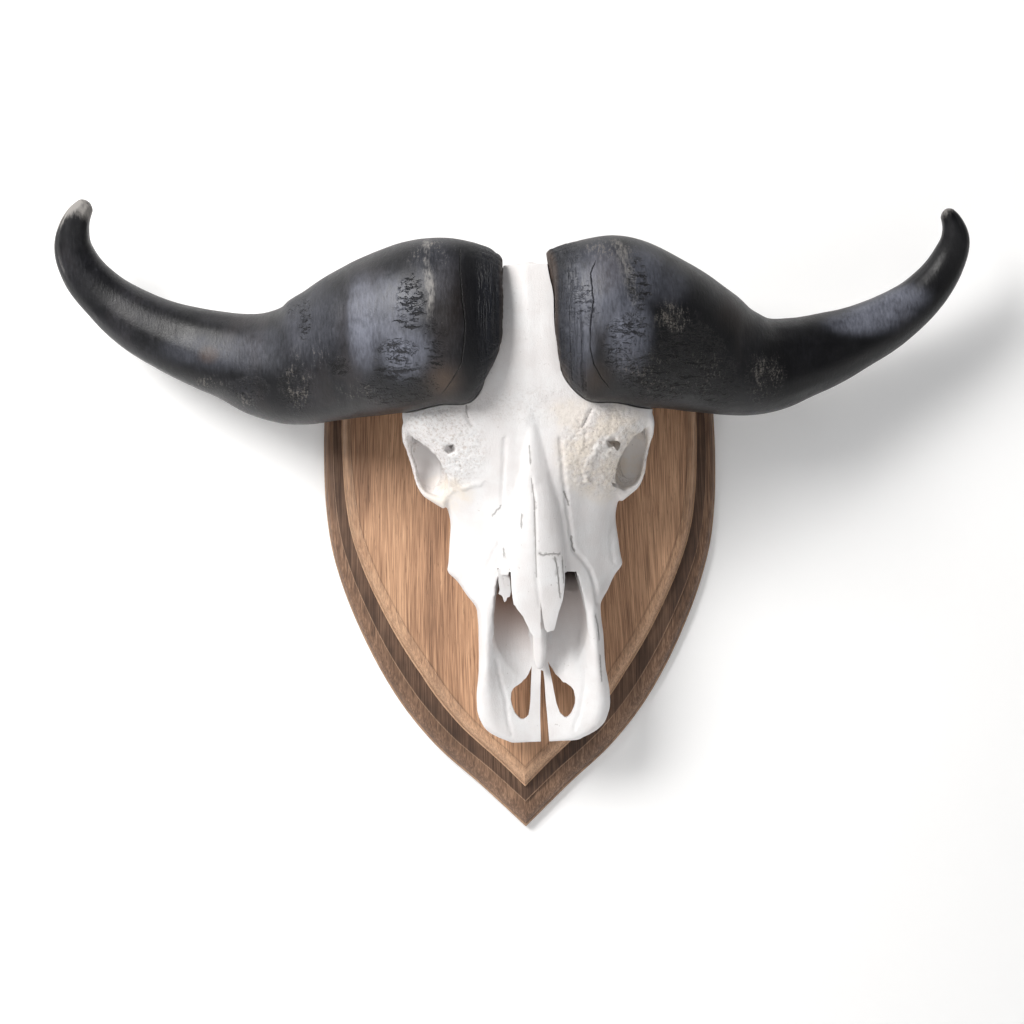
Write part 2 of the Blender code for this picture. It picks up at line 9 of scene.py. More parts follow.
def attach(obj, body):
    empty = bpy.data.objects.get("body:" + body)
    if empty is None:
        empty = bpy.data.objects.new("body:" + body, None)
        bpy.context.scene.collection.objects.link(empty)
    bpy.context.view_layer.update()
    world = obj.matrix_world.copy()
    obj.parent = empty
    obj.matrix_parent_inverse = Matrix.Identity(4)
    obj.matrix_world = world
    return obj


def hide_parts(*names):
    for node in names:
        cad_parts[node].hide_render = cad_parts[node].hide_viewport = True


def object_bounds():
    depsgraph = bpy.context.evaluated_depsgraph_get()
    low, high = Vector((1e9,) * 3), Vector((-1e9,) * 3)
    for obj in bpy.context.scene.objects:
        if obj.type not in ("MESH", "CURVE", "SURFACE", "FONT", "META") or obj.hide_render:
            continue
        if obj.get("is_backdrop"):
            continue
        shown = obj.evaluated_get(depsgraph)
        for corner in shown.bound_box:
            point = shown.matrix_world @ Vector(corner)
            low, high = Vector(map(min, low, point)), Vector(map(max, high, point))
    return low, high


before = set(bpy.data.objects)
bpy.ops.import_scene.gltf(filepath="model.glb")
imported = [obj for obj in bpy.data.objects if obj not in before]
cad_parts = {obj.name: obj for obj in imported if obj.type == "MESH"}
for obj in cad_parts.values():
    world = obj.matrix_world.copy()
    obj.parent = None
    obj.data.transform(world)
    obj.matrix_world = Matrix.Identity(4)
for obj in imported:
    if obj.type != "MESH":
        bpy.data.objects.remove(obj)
cad_low, cad_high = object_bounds()


# The room
# A pale painted wall that the shield hangs flat against, a pale floor well below it, soft
# daylight from the upper left, and a camera straight in front. Wall and floor show from their
# front side alone, so the back of the shield can be looked at too.
class Wire:
    """One output of a finish's nodes. A sum written on it adds the nodes that work it out."""

    def __init__(self, tree, socket=None):
        self.tree = tree
        self.socket = socket

    def node(self, kind, settings=None, inputs=None, output=0):
        made = self.tree.nodes.new(kind)
        for name, value in (settings or {}).items():
            if name == "stops":
                stops = made.color_ramp.elements
                while len(stops) < len(value):
                    stops.new(0.5)
                for stop, (at, colour) in zip(stops, value):
                    stop.position = at
                    stop.color = colour
            else:
                setattr(made, name, value)
        for name, value in (inputs or {}).items():
            if isinstance(value, Wire):
                self.tree.links.new(value.socket, made.inputs[name])
            else:
                made.inputs[name].default_value = value
        return Wire(self.tree, made.outputs[output])

    def math(self, operation, first, second=0.0):
        return self.node("ShaderNodeMath", {"operation": operation}, {0: first, 1: second})

    def __add__(self, other):
        return self.math("ADD", self, other)

    __radd__ = __add__

    def __sub__(self, other):
        return self.math("SUBTRACT", self, other)

    def __rsub__(self, other):
        return self.math("SUBTRACT", other, self)

    def __mul__(self, other):
        return self.math("MULTIPLY", self, other)

    __rmul__ = __mul__

    def __truediv__(self, other):
        return self.math("DIVIDE", self, other)

    def size(self):
        """The value without its sign."""
        return self.math("ABSOLUTE", self)

    def held(self):
        """The value kept between 0 and 1."""
        return self.node("ShaderNodeClamp", {}, {0: self})

    def rise(self, low, high):
        """0 below low, 1 above high and a soft slope between them; low may be the larger."""
        return self.node("ShaderNodeMapRange", {"interpolation_type": "SMOOTHSTEP"},
                         {"Value": self, "From Min": low, "From Max": high})

    def tint(self, bare, full):
        """Colour that goes from bare to full as the value goes from 0 to 1."""
        return self.node("ShaderNodeMix", {"data_type": "RGBA"}, {0: self, 6: bare, 7: full}, 2)

    def stretched(self, x, y, z):
        return self.node("ShaderNodeVectorMath", {"operation": "MULTIPLY"}, {0: self, 1: (x, y, z)})

    def cloud(self, scale, detail=2.0, roughness=0.5, distortion=0.0):
        return self.node("ShaderNodeTexNoise", {}, {"Vector": self, "Scale": scale, "Detail": detail,
                         "Roughness": roughness, "Distortion": distortion}, "Fac")

    def mark(self, name):
        """A mark laid on the piece's own points, such as where it is worn."""
        return self.node("ShaderNodeAttribute", {"attribute_name": name}, {}, "Fac")


def new_finish(name):
    """A bare finish: the material, a wire to start from and its shader."""
    material = bpy.data.materials.new(name)
    material.use_nodes = True
    tree = material.node_tree
    return material, Wire(tree), tree.nodes["Principled BSDF"]


def lay(shader, **inputs):
    """Joins wires or plain values to the shader; an underscore stands for a space."""
    for name, value in inputs.items():
        socket = shader.inputs[name.replace("_", " ")]
        if isinstance(value, Wire):
            shader.id_data.links.new(value.socket, socket)
        else:
            socket.default_value = value


def coats(colour, *layers):
    """The colour under layers of stain, wear and painted light and shade, each laid on by its own amount."""
    for amount, stain_and_shade in layers:
        colour = amount.tint(colour, (*stain_and_shade, 1))
    return colour


def added(name, data):
    """An object made of the data and put in the scene."""
    made = bpy.data.objects.new(name, data)
    bpy.context.scene.collection.objects.link(made)
    return made


def one_sided_paint(name, colour):
    material, wire, shader = new_finish(name)
    lay(shader, Base_Color=colour, Roughness=0.9, Specular_IOR_Level=0.1,
        Emission_Color=(1.0, 1.0, 1.0, 1), Emission_Strength=WALL_LIFT)
    behind = wire.node("ShaderNodeNewGeometry", output="Backfacing")
    clear = wire.node("ShaderNodeBsdfTransparent")
    front = Wire(wire.tree, shader.outputs[0])
    shown = wire.node("ShaderNodeMixShader", {}, {0: behind, 1: front, 2: clear})
    wire.tree.links.new(shown.socket, wire.tree.nodes["Material Output"].inputs["Surface"])
    return material


def flat_sheet(name, corners, material):
    data = bpy.data.meshes.new(name)
    data.from_pydata(corners, [], [(0, 1, 2, 3)])
    data.materials.append(material)
    sheet = added(name, data)
    sheet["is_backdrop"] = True


WALL_HALF = 4.0
WALL_LIFT = 0.11
FLOOR_HEIGHT = -1.4
WALL_GAP = 0.0006
PAPER_WHITE = (0.93, 0.93, 0.93, 1)
wall_paint = one_sided_paint("white wall paint", PAPER_WHITE)
flat_sheet("wall", [(-WALL_HALF, WALL_GAP, FLOOR_HEIGHT), (WALL_HALF, WALL_GAP, FLOOR_HEIGHT),
                    (WALL_HALF, WALL_GAP, WALL_HALF), (-WALL_HALF, WALL_GAP, WALL_HALF)], wall_paint)
flat_sheet("floor", [(-WALL_HALF, WALL_GAP - 2 * WALL_HALF, FLOOR_HEIGHT),
                     (WALL_HALF, WALL_GAP - 2 * WALL_HALF, FLOOR_HEIGHT),
                     (WALL_HALF, WALL_GAP, FLOOR_HEIGHT), (-WALL_HALF, WALL_GAP, FLOOR_HEIGHT)], wall_paint)

ROOM_GLOW = 0.12
SEEN_GLOW = 0.69
world = bpy.data.worlds.new("soft room light")
bpy.context.scene.world = world
world.use_nodes = True
air = Wire(world.node_tree)
seen = air.node("ShaderNodeLightPath", output="Is Camera Ray")
sky = world.node_tree.nodes["Background"]
sky.inputs["Color"].default_value = (0.97, 0.98, 1.0, 1)
world.node_tree.links.new((seen * SEEN_GLOW + ROOM_GLOW).socket, sky.inputs["Strength"])


def soft_box(name, place, aim, width, height, watts, colour):
    light = bpy.data.lights.new(name, "AREA")
    light.shape = "RECTANGLE"
    light.size = width
    light.size_y = height
    light.energy = watts
    light.color = colour
    lamp = added(name, light)
    lamp.location = place
    lamp.rotation_euler = (Vector(place) - Vector(aim)).to_track_quat("Z", "Y").to_euler()
    return lamp


LIGHT_AIM = (0.0, 0.0, 0.05)
WINDOW_WATTS, BOUNCE_WATTS = 88, 11
soft_box("window", (-1.45, -1.95, 1.35), LIGHT_AIM, 1.25, 1.25, WINDOW_WATTS, (1.0, 0.985, 0.965))
bounce = soft_box("room behind the camera", (0.4, -3.3, 1.0), LIGHT_AIM, 2.4, 1.8, BOUNCE_WATTS,
                  (0.96, 0.975, 1.0))
bounce.visible_glossy = False

CAMERA_PLACE = (-0.0096, -2.5, 0.057)
CAMERA_ROLL = math.radians(0.985)
SENSOR_WIDTH, LENS_LENGTH = 36.0, 77.62
lens = bpy.data.cameras.new("camera")
lens.sensor_width = SENSOR_WIDTH
lens.lens = LENS_LENGTH
camera = added("camera", lens)
camera.location = CAMERA_PLACE
upright = Matrix.Rotation(math.radians(90), 4, "X")
camera.rotation_euler = (Matrix.Rotation(CAMERA_ROLL, 4, "Y") @ upright).to_euler()
bpy.context.scene.camera = camera
bpy.context.scene.view_settings.view_transform = "Standard"


# The shield
# Two boards of stained hardwood with the grain upright, a smaller raised panel on a larger
# base. Each edge is run with one cutter: a square edge, a thin fillet, a quarter round and a
# small step, and the sharp lines of the moulding have lost their stain.
# Painted shade darkens the creases of the moulding and the base's flat beside the panel.
FIT_GAP = 0.0003
BASE_THICK = 0.022
PANEL_THICK = 0.018
PANEL_BACK = BASE_THICK + FIT_GAP
PANEL_FRONT = PANEL_BACK + PANEL_THICK
SHIELD_TOP = 0.288
SHIELD_HALF = [
    (0.0, -0.298), (0.049, -0.251), (0.099, -0.2055), (0.1355, -0.1605), (0.1625, -0.1155),
    (0.184, -0.0705), (0.2015, -0.025), (0.2135, 0.0195), (0.2195, 0.07), (0.2207, 0.115),
    (0.2195, 0.165), (0.2165, 0.225), (0.2125, SHIELD_TOP),
]
LINE_HEIGHTS = [-0.30, -0.225, -0.145, -0.05, 0.045, 0.15, 0.29]
BASE_STEP_INSET = [0.0215, 0.021, 0.0195, 0.0165, 0.0125, 0.0108, 0.0108]
PANEL_EDGE_INSET = [0.033, 0.036, 0.0377, 0.0317, 0.0248, 0.0208, 0.0208]
PANEL_STEP_INSET = [0.0485, 0.051, 0.053, 0.0455, 0.037, 0.031, 0.031]
SIDE_POINTS = 170
TOP_POINTS = 90
OUTLINE_STEPS = 900
MOULDING_CREASE = 26
ROUND_ANGLES = [6, 16, 28, 40, 52, 63, 73, 82, 90]


def spline(points, count, knots=None):
    """Smooth curve through the points (Catmull-Rom), given back at evenly spaced parameters."""
    points = np.array(points, float)
    if knots is None:
        steps = np.linalg.norm(np.diff(points, axis=0), axis=1)
        knots = np.concatenate([[0], np.cumsum(steps)])
    knots = np.array(knots, float)
    slopes = np.gradient(points, knots, axis=0)
    at = np.linspace(knots[0], knots[-1], count)
    cell = np.clip(np.searchsorted(knots, at, side="right") - 1, 0, len(knots) - 2)
    span = (knots[cell + 1] - knots[cell])[:, None]
    t = (at - knots[cell])[:, None] / span
    p0, p1, m0, m1 = points[cell], points[cell + 1], slopes[cell] * span, slopes[cell + 1] * span
    return ((2 * t**3 - 3 * t**2 + 1) * p0 + (t**3 - 2 * t**2 + t) * m0
            + (3 * t**2 - 2 * t**3) * p1 + (t**3 - t**2) * m1)


def piece_from(name, points, faces):
    """Object from points and faces, held inside the box of the solids it stands for."""
    points = np.clip(points, np.array(cad_low) + 1e-5, np.array(cad_high) - 1e-5)
    data = bpy.data.meshes.new(name)
    data.from_pydata(points.tolist(), [], faces)
    data.update()
    return added(name, data)


def ring_faces(rings, count):
    """Faces over a stack of rings with equally many points, and one over each end."""
    faces = []
    for row in range(rings - 1):
        low, high = row * count, (row + 1) * count
        faces += [(low + i, low + (i + 1) % count, high + (i + 1) % count, high + i) for i in range(count)]
    return faces + [tuple(range(count))[::-1], tuple(range(count * (rings - 1), count * rings))]


def within(values):
    """The values kept between 0 and 1."""
    return np.clip(values, 0, 1)


def set_mark(piece, name, values):
    mark = piece.data.attributes.new(name, "FLOAT", "POINT")
    mark.data.foreach_set("value", np.asarray(values, np.float32).ravel())


def mellow(piece, angle=None):
    """Smooth shading, with the lines sharper than the angle kept."""
    piece.data.polygons.foreach_set("use_smooth", [True] * len(piece.data.polygons))
    if angle is not None:
        piece.data.set_sharp_from_angle(angle=math.radians(angle))


def shield_line(insets):
    """Closed outline of a moulding line that lies inside the shield's edge by the insets."""
    side = spline(SHIELD_HALF, OUTLINE_STEPS)
    along = np.gradient(side, axis=0)
    inward = np.stack([-along[:, 1], along[:, 0]], axis=1)
    inward /= np.linalg.norm(inward, axis=1)[:, None]
    width = np.interp(side[:, 1], LINE_HEIGHTS, insets)
    inner = side + inward * width[:, None]
    top = SHIELD_TOP - width[-1]
    inner = inner[(inner[:, 0] > 0) & (inner[:, 1] < top)]
    slope = (inner[1] - inner[0]) / (inner[1, 0] - inner[0, 0])
    tip = inner[0] - slope * inner[0, 0]
    shoulder = inner[-1] + (inner[-1] - inner[-2]) * (top - inner[-1, 1]) / (inner[-1, 1] - inner[-2, 1])
    inner = np.vstack([tip, inner, shoulder])
    run = np.concatenate([[0], np.cumsum(np.linalg.norm(np.diff(inner, axis=0), axis=1))])
    even = np.linspace(0, run[-1], SIDE_POINTS)
    right = np.stack([np.interp(even, run, inner[:, 0]), np.interp(even, run, inner[:, 1])], axis=1)
    across = np.linspace(1, -1, TOP_POINTS)[1:-1]
    edge = np.stack([across * shoulder[0], np.full(len(across), top)], axis=1)
    left = right[:0:-1] * (-1, 1)
    return np.vstack([right, edge, left])


def wavy(points, size, seed):
    """Smooth random field between -1 and 1, with humps about as large as size."""
    spot = np.asarray(points, float) / np.array(size) + seed * 17.37
    cell = np.floor(spot)
    part = spot - cell
    part = part * part * (3 - 2 * part)
    total = np.zeros(len(spot))
    for corner in itertools.product((0, 1), repeat=spot.shape[1]):
        key = (cell + corner) @ np.array([127.1, 311.7, 74.7])[:spot.shape[1]]
        value = np.modf(np.abs(np.sin(key) * 43758.5453))[0]
        weight = np.prod(np.where(corner, part, 1 - part), axis=1)
        total += weight * value
    return total * 2 - 1


def board(name, back, thick, edge_insets, step_insets, edge, fillet, step, faded, stained):
    """Moulded board; the marks say where the stain is worn off and where painted shade darkens the creases
    of the moulding and the flat just inside it, most on the base beside the panel.
    """
    outer, inner = shield_line(edge_insets), shield_line(step_insets)
    width = np.linalg.norm(inner - outer, axis=1).mean()
    # Across the moulding: share of the way in, distance from the board's back, worn, and painted shade.
    # Stained sets how dark the painted shade is on the flat beside the raised panel.
    rows = [(0.020, 0.0, 0.0, 0.3), (0.0, 0.0006, 0.3, 0.2), (0.0, edge * 0.5, 0.0, 0.25),
            (0.0, edge - 0.0005, 0.6, 0.1), (0.0006 / width, edge, 1.0, 0.0),
            (fillet / width * 0.8, edge + 0.0001, 0.7, 0.1), (fillet / width, edge + 0.0002, 0.0, 0.9)]
    start, foot = fillet / width, thick - step
    for angle in np.radians(ROUND_ANGLES):
        blend = start + (0.985 - start) * (1 - math.cos(angle))
        rows.append((blend, edge + (foot - edge) * math.sin(angle), faded, 0.1))
    rows += [(0.990, foot - 0.0001, 0.0, 1.0), (0.998, foot + 0.0002, 0.0, 1.0),
             (1.0, thick - 0.0004, 0.85, 0.0), (1.008, thick - 0.0001, 1.0, 0.0),
             (1.03, thick, 0.35, 0.1), (1.07, thick, 0.0, 0.5 + stained * 0.4),
             (1.20, thick, 0.0, stained), (1.60, thick, 0.0, stained * 0.8)]
    points, worn, dark = [], [], []
    for blend, out, wear, stain_and_shade in rows:
        line = outer * (1 - blend) + inner * blend
        points.append(np.column_stack([line[:, 0], np.full(len(line), -(back + out)), line[:, 1]]))
        worn.append(np.full(len(line), wear))
        dark.append(np.full(len(line), stain_and_shade))
    count = len(outer)
    points = np.vstack(points)
    faces = ring_faces(len(rows), count)
    piece = piece_from(name, points, [face[::-1] for face in faces])
    scuffs = wavy(points, 0.012, 3) * 0.5 + wavy(points, 0.004, 4) * 0.5
    set_mark(piece, "worn", within(np.concatenate(worn) * (0.75 + scuffs * 0.6)))
    set_mark(piece, "dark", np.concatenate(dark))
    mellow(piece, MOULDING_CREASE)
    return piece


def stained_wood(name, shift, pale, brown, deep):
    """Stained hardwood with straight grain: broad bands, fine streaks and short open pores."""
    material, wire, shader = new_finish(name)
    spot = wire.node("ShaderNodeTexCoord", output="Object")
    spot = spot.node("ShaderNodeVectorMath", {"operation": "ADD"}, {0: spot, 1: shift})
    bend = spot.stretched(1, 1, 0.35).cloud(5.0, 1.0)
    bent = wire.node("ShaderNodeVectorMath", {"operation": "MULTIPLY_ADD"},
                     {0: wire.node("ShaderNodeCombineXYZ", {}, {0: bend, 1: 0.0, 2: 0.0}),
                      1: (0.035, 0.0, 0.0), 2: spot})
    bands = bent.stretched(1.0, 1.0, 0.045).cloud(24.0, 3.0, 0.5)
    streaks = bent.stretched(1.0, 1.0, 0.022).cloud(330.0, 4.0, 0.6)
    hairs = bent.stretched(1.0, 1.0, 0.018).cloud(1150.0, 2.0, 0.6)
    pores = bent.stretched(1.0, 1.0, 0.05).cloud(1500.0, 1.0, 0.5).rise(0.66, 0.78)
    tone = (bands - 0.5) * 0.75 + (streaks - 0.5) * 0.85 + (hairs - 0.5) * 1.25 + 0.5
    colour = wire.node("ShaderNodeValToRGB", {"stops": [(0.0, deep), (0.5, brown), (1.0, pale)]},
                       {0: tone.rise(0.05, 0.95)})
    # Painted shade: the dark mark darkens the creases of the moulding and the flat beside the raised panel.
    dark = wire.mark("dark") * (spot.cloud(60.0, 3.0) + 0.5)
    worn = wire.mark("worn") * (spot.cloud(95.0, 4.0, 0.7) + 0.35)
    colour = coats(colour, (pores * 0.55, (0.035, 0.018, 0.011)),
                   ((dark * 0.80).held(), (0.026, 0.013, 0.008)),
                   ((worn * 0.85).held(), (0.54, 0.36, 0.235)))
    rough = 0.50 + (hairs - 0.5) * 0.25 + worn * 0.1
    relief = (streaks - 0.5) * 0.5 + (hairs - 0.5) * 0.5 - pores * 0.8
    bump = wire.node("ShaderNodeBump", {}, {"Strength": 0.5, "Distance": 0.0005, "Height": relief})
    lay(shader, Base_Color=colour, Roughness=rough.held(), Normal=bump)
    return material


no_inset = [0.0] * len(LINE_HEIGHTS)
# The last number sets how dark the painted shade is on the base's flat beside the panel.
plaque_base = board("shield_base_board", 0.0, BASE_THICK, no_inset, BASE_STEP_INSET,
                    0.0095, 0.0022, 0.003, 0.10, 0.75)
base_wood = stained_wood("stained wood of the base", (0.0, 0.0, 0.0),
                         (0.360, 0.215, 0.135, 1), (0.165, 0.088, 0.052, 1), (0.050, 0.026, 0.016, 1))
plaque_base.data.materials.append(base_wood)
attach(plaque_base, "root")
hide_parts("plaque_base")

plaque_panel = board("shield_raised_panel", PANEL_BACK, PANEL_THICK, PANEL_EDGE_INSET, PANEL_STEP_INSET,
                     0.0035, 0.0018, 0.0014, 0.42, 0.0)
panel_wood = stained_wood("stained wood of the panel", (0.37, 0.11, 0.23),
                          (0.720, 0.440, 0.268, 1), (0.450, 0.252, 0.146, 1), (0.190, 0.099, 0.057, 1))
plaque_panel.data.materials.append(panel_wood)
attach(plaque_panel, "root")
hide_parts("plaque_panel")


# The horns
# Two keratin sheaths that grew in bands from a swollen boss over the brow out to the hooks.
# The boss edge is a thick rim of fibres, the lower boss is cracked and pitted, the swollen
# part has a dull polish, and the outer edge and the tips are worn pale. A painted sheen of pale
# bluish grey lies on the boss and the hooks, and the right horn is painted darker as shade.
def mm(size):
    """Millimetres, in lists of any depth, turned into metres."""
    if isinstance(size, dict):
        return {side: mm(part) for side, part in size.items()}
    return round(size / 1000, 6) if isinstance(size, (int, float)) else [mm(part) for part in size]


# Stations from the boss edge to the tip: sideways, height, half height, nearest to the wall,
# nearest to the viewer.
HORN_LEFT = mm([
    (-14.5, 262.5, 59, 174, 242), (-30, 258, 74.3, 168, 254), (-50, 254.8, 84.3, 160, 263),
    (-82, 256.5, 87, 145, 267), (-114, 252.5, 88.5, 126, 262), (-146, 245.5, 84.5, 109, 249),
    (-178, 236.5, 78.5, 95, 231), (-211, 226.5, 71.5, 83, 209), (-245, 219.5, 65.5, 73, 187),
    (-279, 222.5, 57, 65, 166), (-313, 232, 48, 58, 147), (-347, 242.5, 43.5, 53, 134),
    (-380, 255, 38.5, 51, 126), (-413, 272, 34.5, 51, 121), (-445, 296, 29, 57, 118),
    (-471, 326, 25, 69, 121), (-480, 357, 20.5, 87, 129), (-471.5, 383, 14.5, 104, 136),
    (-458.5, 398.5, 8.5, 119, 138),
])
HORN_RIGHT = mm([
    (38, 264, 64, 174, 242), (52, 259, 75, 167, 255), (70, 255, 84, 157, 264),
    (100, 256, 87, 140, 267), (130, 251, 87, 120, 258), (165, 240, 78.5, 101, 240),
    (204, 224.5, 68, 85, 212), (237, 213.5, 58.5, 75, 188), (271, 211, 52, 67, 167),
    (306, 219, 45, 60, 149), (340, 230, 40.5, 55, 137), (373, 243, 35, 53, 129),
    (407, 260, 30.5, 54, 123), (440, 284, 25, 61, 119), (466, 317, 20.5, 74, 122),
    (474, 344, 16.5, 92, 130), (468, 363, 11, 108, 137), (460, 374, 7, 119, 138),
])
HORN_SQUARENESS = 2.25
BOSS_UPRIGHT = (0.05, 0.20)
RIM_ROUND = 0.0045
RIM_SHARE = 0.95
RIM_FADE = 0.055
TIP_ROUND = 0.0060
HORN_RINGS = 400
HORN_SIDES = 200
# How far the cut rim leans sideways, from its lowest point to its highest.
RIM_LEAN = {
    -1: [(-1, -0.019), (-0.9, -0.011), (-0.72, -0.0045), (-0.5, -0.001), (0, 0), (1, 0)],
    1: [(-1, 0.006), (-0.8, 0.0018), (-0.5, 0), (0.7, -0.0005), (0.88, -0.003), (1, -0.008)],
}


def turns(count):
    """Evenly spaced angles once round."""
    return np.linspace(0, 2 * math.pi, count, endpoint=False)


def squared(value, power):
    """A sine or cosine bent by a power with its sign kept, which squares up a round section."""
    return np.sign(value) * np.abs(value) ** power


def horn_rings(stations, count, sides, grow=0.0):
    """Rings of points along a horn and how far each ring lies from the boss edge."""
    path = spline(stations, count)
    side = 1 if stations[-1][0] > 0 else -1
    along = np.gradient(path[:, :2], axis=0)
    along /= np.linalg.norm(along, axis=1)[:, None]
    # The sections stand upright over the boss and lean with the horn only past it.
    sideways = np.abs(path[:, 0]) - abs(path[0, 0])
    lean = within((sideways - BOSS_UPRIGHT[0]) / (BOSS_UPRIGHT[1] - BOSS_UPRIGHT[0]))
    lean = (lean * lean * (3 - 2 * lean))[:, None]
    along = along * lean + np.array([side, 0]) * (1 - lean)
    reach = count // 22
    padded = np.vstack([along[:1]] * reach + [along] + [along[-1:]] * reach)
    soft = np.hanning(2 * reach + 3)[1:-1]
    along = np.stack([np.convolve(column, soft, "valid") for column in padded.T], axis=1)
    along /= np.linalg.norm(along, axis=1)[:, None]
    steps = np.linalg.norm(np.diff(path[:, :2], axis=0), axis=1)
    run = np.concatenate([[0], np.cumsum(steps)])
    # Extra rings close to both ends carry the fibres of the rim and the blunt tip.
    at = np.unique(np.concatenate([run, np.linspace(0.0002, 0.030, sides // 4),
                                   run[-1] - TIP_ROUND * np.array([0.04, 0.12, 0.25, 0.45, 0.7])]))
    rows = np.column_stack([np.interp(at, run, column) for column in np.column_stack([path, along]).T])
    near_rim = within(1 - at / RIM_ROUND)
    near_tip = within(1 - (run[-1] - at) / TIP_ROUND)
    scale = (1 - (1 - RIM_SHARE) * (1 - np.sqrt(1 - near_rim ** 2))) * np.sqrt(1 - (near_tip * 0.95) ** 2)
    middle = (rows[:, 3] + rows[:, 4]) / 2
    rows[:, 2] *= scale
    rows[:, 3] = middle + (rows[:, 3] - middle) * scale
    rows[:, 4] = middle + (rows[:, 4] - middle) * scale
    rows[0, :2] -= rows[0, 5:] * grow
    rows[-1, :2] += rows[-1, 5:] * grow
    turn = turns(sides)
    up, out = squared(np.cos(turn), 2 / HORN_SQUARENESS), squared(np.sin(turn), 2 / HORN_SQUARENESS)
    x, z, half, near_wall, near_eye, ax, az = (rows[:, [i]] for i in range(7))
    rise = up * (half + grow)
    deep = out * ((near_eye - near_wall) / 2 + grow)
    heights, shifts = np.array(RIM_LEAN[side]).T
    shift = np.interp(up * side, heights, shifts) * within(1 - at[:, None] / RIM_FADE) ** 2
    rings = np.stack([x - az * rise + shift, -((near_wall + near_eye) / 2 + deep), z + ax * rise], axis=2)
    return rings, at


def outward(rings):
    """Unit normals of a grid of rings, pointing away from each ring's middle."""
    along = np.gradient(rings, axis=0)
    around = np.roll(rings, -1, axis=1) - np.roll(rings, 1, axis=1)
    normal = np.cross(along, around)
    normal /= np.linalg.norm(normal, axis=2)[..., None] + 1e-12
    middle = rings.mean(axis=1, keepdims=True)
    side = np.sign(((rings - middle) * normal).sum(axis=2).mean())
    return normal * side


def closed_rings(rings):
    """Points and faces of a tube of rings with a shallow many-ringed cap at each end."""
    rings = list(rings)
    for end, order in ((0, 1), (-1, -1)):
        edge = rings[end]
        middle = edge.mean(axis=0)
        caps = [middle + (edge - middle) * scale for scale in (0.02, 0.35, 0.65, 0.86)]
        rings = caps + rings if order == 1 else rings + caps[::-1]
    return np.vstack(rings), ring_faces(len(rings), len(rings[0]))


def near_line(points, line):
    """Distance in the picture plane from each point to a line of (sideways, height) points."""
    flat = points[..., [0, 2]]
    best = np.full(flat.shape[:-1], 9.0)
    line = np.array(line, float)
    for a, b in zip(line, line[1:]):
        way = b - a
        share = within(((flat - a) @ way) / (way @ way))
        best = np.minimum(best, np.linalg.norm(flat - (a + share[..., None] * way), axis=-1))
    return best


def fade(distance, width):
    """1 on a line and 0 from the width outwards, with a rounded shoulder."""
    share = within(1 - distance / width)
    return share * share * (3 - 2 * share)


# Patches seen from the front: sideways, height, half width, half height, strength.
CRACKED = {
    -1: [(-109, 272, 14, 27, 0.75), (-124, 222, 22, 12, 0.9), (-119, 203, 25, 8, 1.2),
         (-123, 186, 36, 18, 1.0), (-186, 210, 12, 10, 0.9), (-223, 264, 7, 24, 0.8),
         (-84, 228, 14, 30, 0.5), (-237, 284, 14, 22, 0.5), (-234, 190, 20, 24, 0.7),
         (-286, 192, 24, 14, 0.6)],
    1: [(67, 266, 14, 24, 0.5), (122, 288, 10, 30, 0.9), (115, 240, 18, 16, 1.0),
        (100, 220, 14, 26, 0.8), (157, 248, 14, 16, 0.9), (176, 216, 36, 30, 1.1),
        (144, 192, 36, 24, 1.1), (205, 190, 26, 28, 0.9), (260, 195, 24, 24, 0.6)],
}
# Painted sheen, with some weathered greying: patches where the light gleams on the boss and the hooks.
SHEEN_AND_BLOOM = {
    -1: [(-158, 255, 18, 40, 1.0), (-132, 262, 30, 34, 0.75), (-116, 222, 22, 24, 1.0),
         (-215, 258, 34, 34, 0.55), (-300, 232, 45, 16, 0.75), (-350, 238, 30, 14, 0.6),
         (-265, 235, 30, 24, 0.4), (-85, 305, 20, 30, 0.25)],
    1: [(112, 240, 20, 36, 0.95), (85, 285, 26, 42, 0.75), (130, 300, 22, 28, 0.6),
        (372, 256, 34, 13, 0.9), (405, 281, 30, 15, 1.0), (390, 268, 32, 15, 1.0),
        (62, 260, 16, 55, 0.75), (155, 290, 20, 20, 0.35)],
}
FLECKED = {
    -1: [(-345, 190, 30, 16, 0.9), (-310, 176, 26, 12, 0.9), (-232, 192, 16, 30, 0.7),
         (-88, 325, 20, 18, 0.9), (-205, 225, 10, 14, 0.6), (-170, 180, 30, 16, 0.5)],
    1: [(160, 252, 18, 16, 1.0), (262, 196, 20, 24, 0.8), (140, 196, 40, 26, 0.6),
        (95, 330, 26, 16, 0.8), (190, 200, 30, 26, 0.5)],
}
RUDDY = {
    -1: [(-331, 231, 10, 8, 0.5), (-72.5, 268, 16, 45, 0.1)],
    1: [(90, 300, 16, 20, 0.18), (230, 262, 20, 20, 0.12)],
}
STREAK = mm({
    -1: [(-93.1, 345), (-91.5, 312.1), (-87.9, 283.6), (-91.6, 247.1)],
    1: [(101, 345), (106.5, 322), (114, 298), (118, 276), (113, 236)],
})
# Long cracks beside the rim, from the top down.
SPLITS = mm({
    -1: [(-57.5, 330), (-58, 302), (-56, 275), (-53.5, 250), (-54.5, 232), (-56, 222), (-59, 206),
         (-68, 192), (-80, 178)],
    1: [(80, 312), (74, 300), (76, 270), (72.5, 245), (72, 222), (76, 205), (83, 192), (93, 180)],
})
# Heights of the relief on the horns, and the gap that keeps the sheaths clear of their seats.
BAND_LIFT, FINE_LIFT = 0.00034, 0.00009
LAYER_LIFT, FIBRE_LIFT = 0.00055, 0.0008
DENT_LIFT, CRACKED_LIFT = 0.00055, 0.00035
SHEATH_CLEARANCE = 0.0008


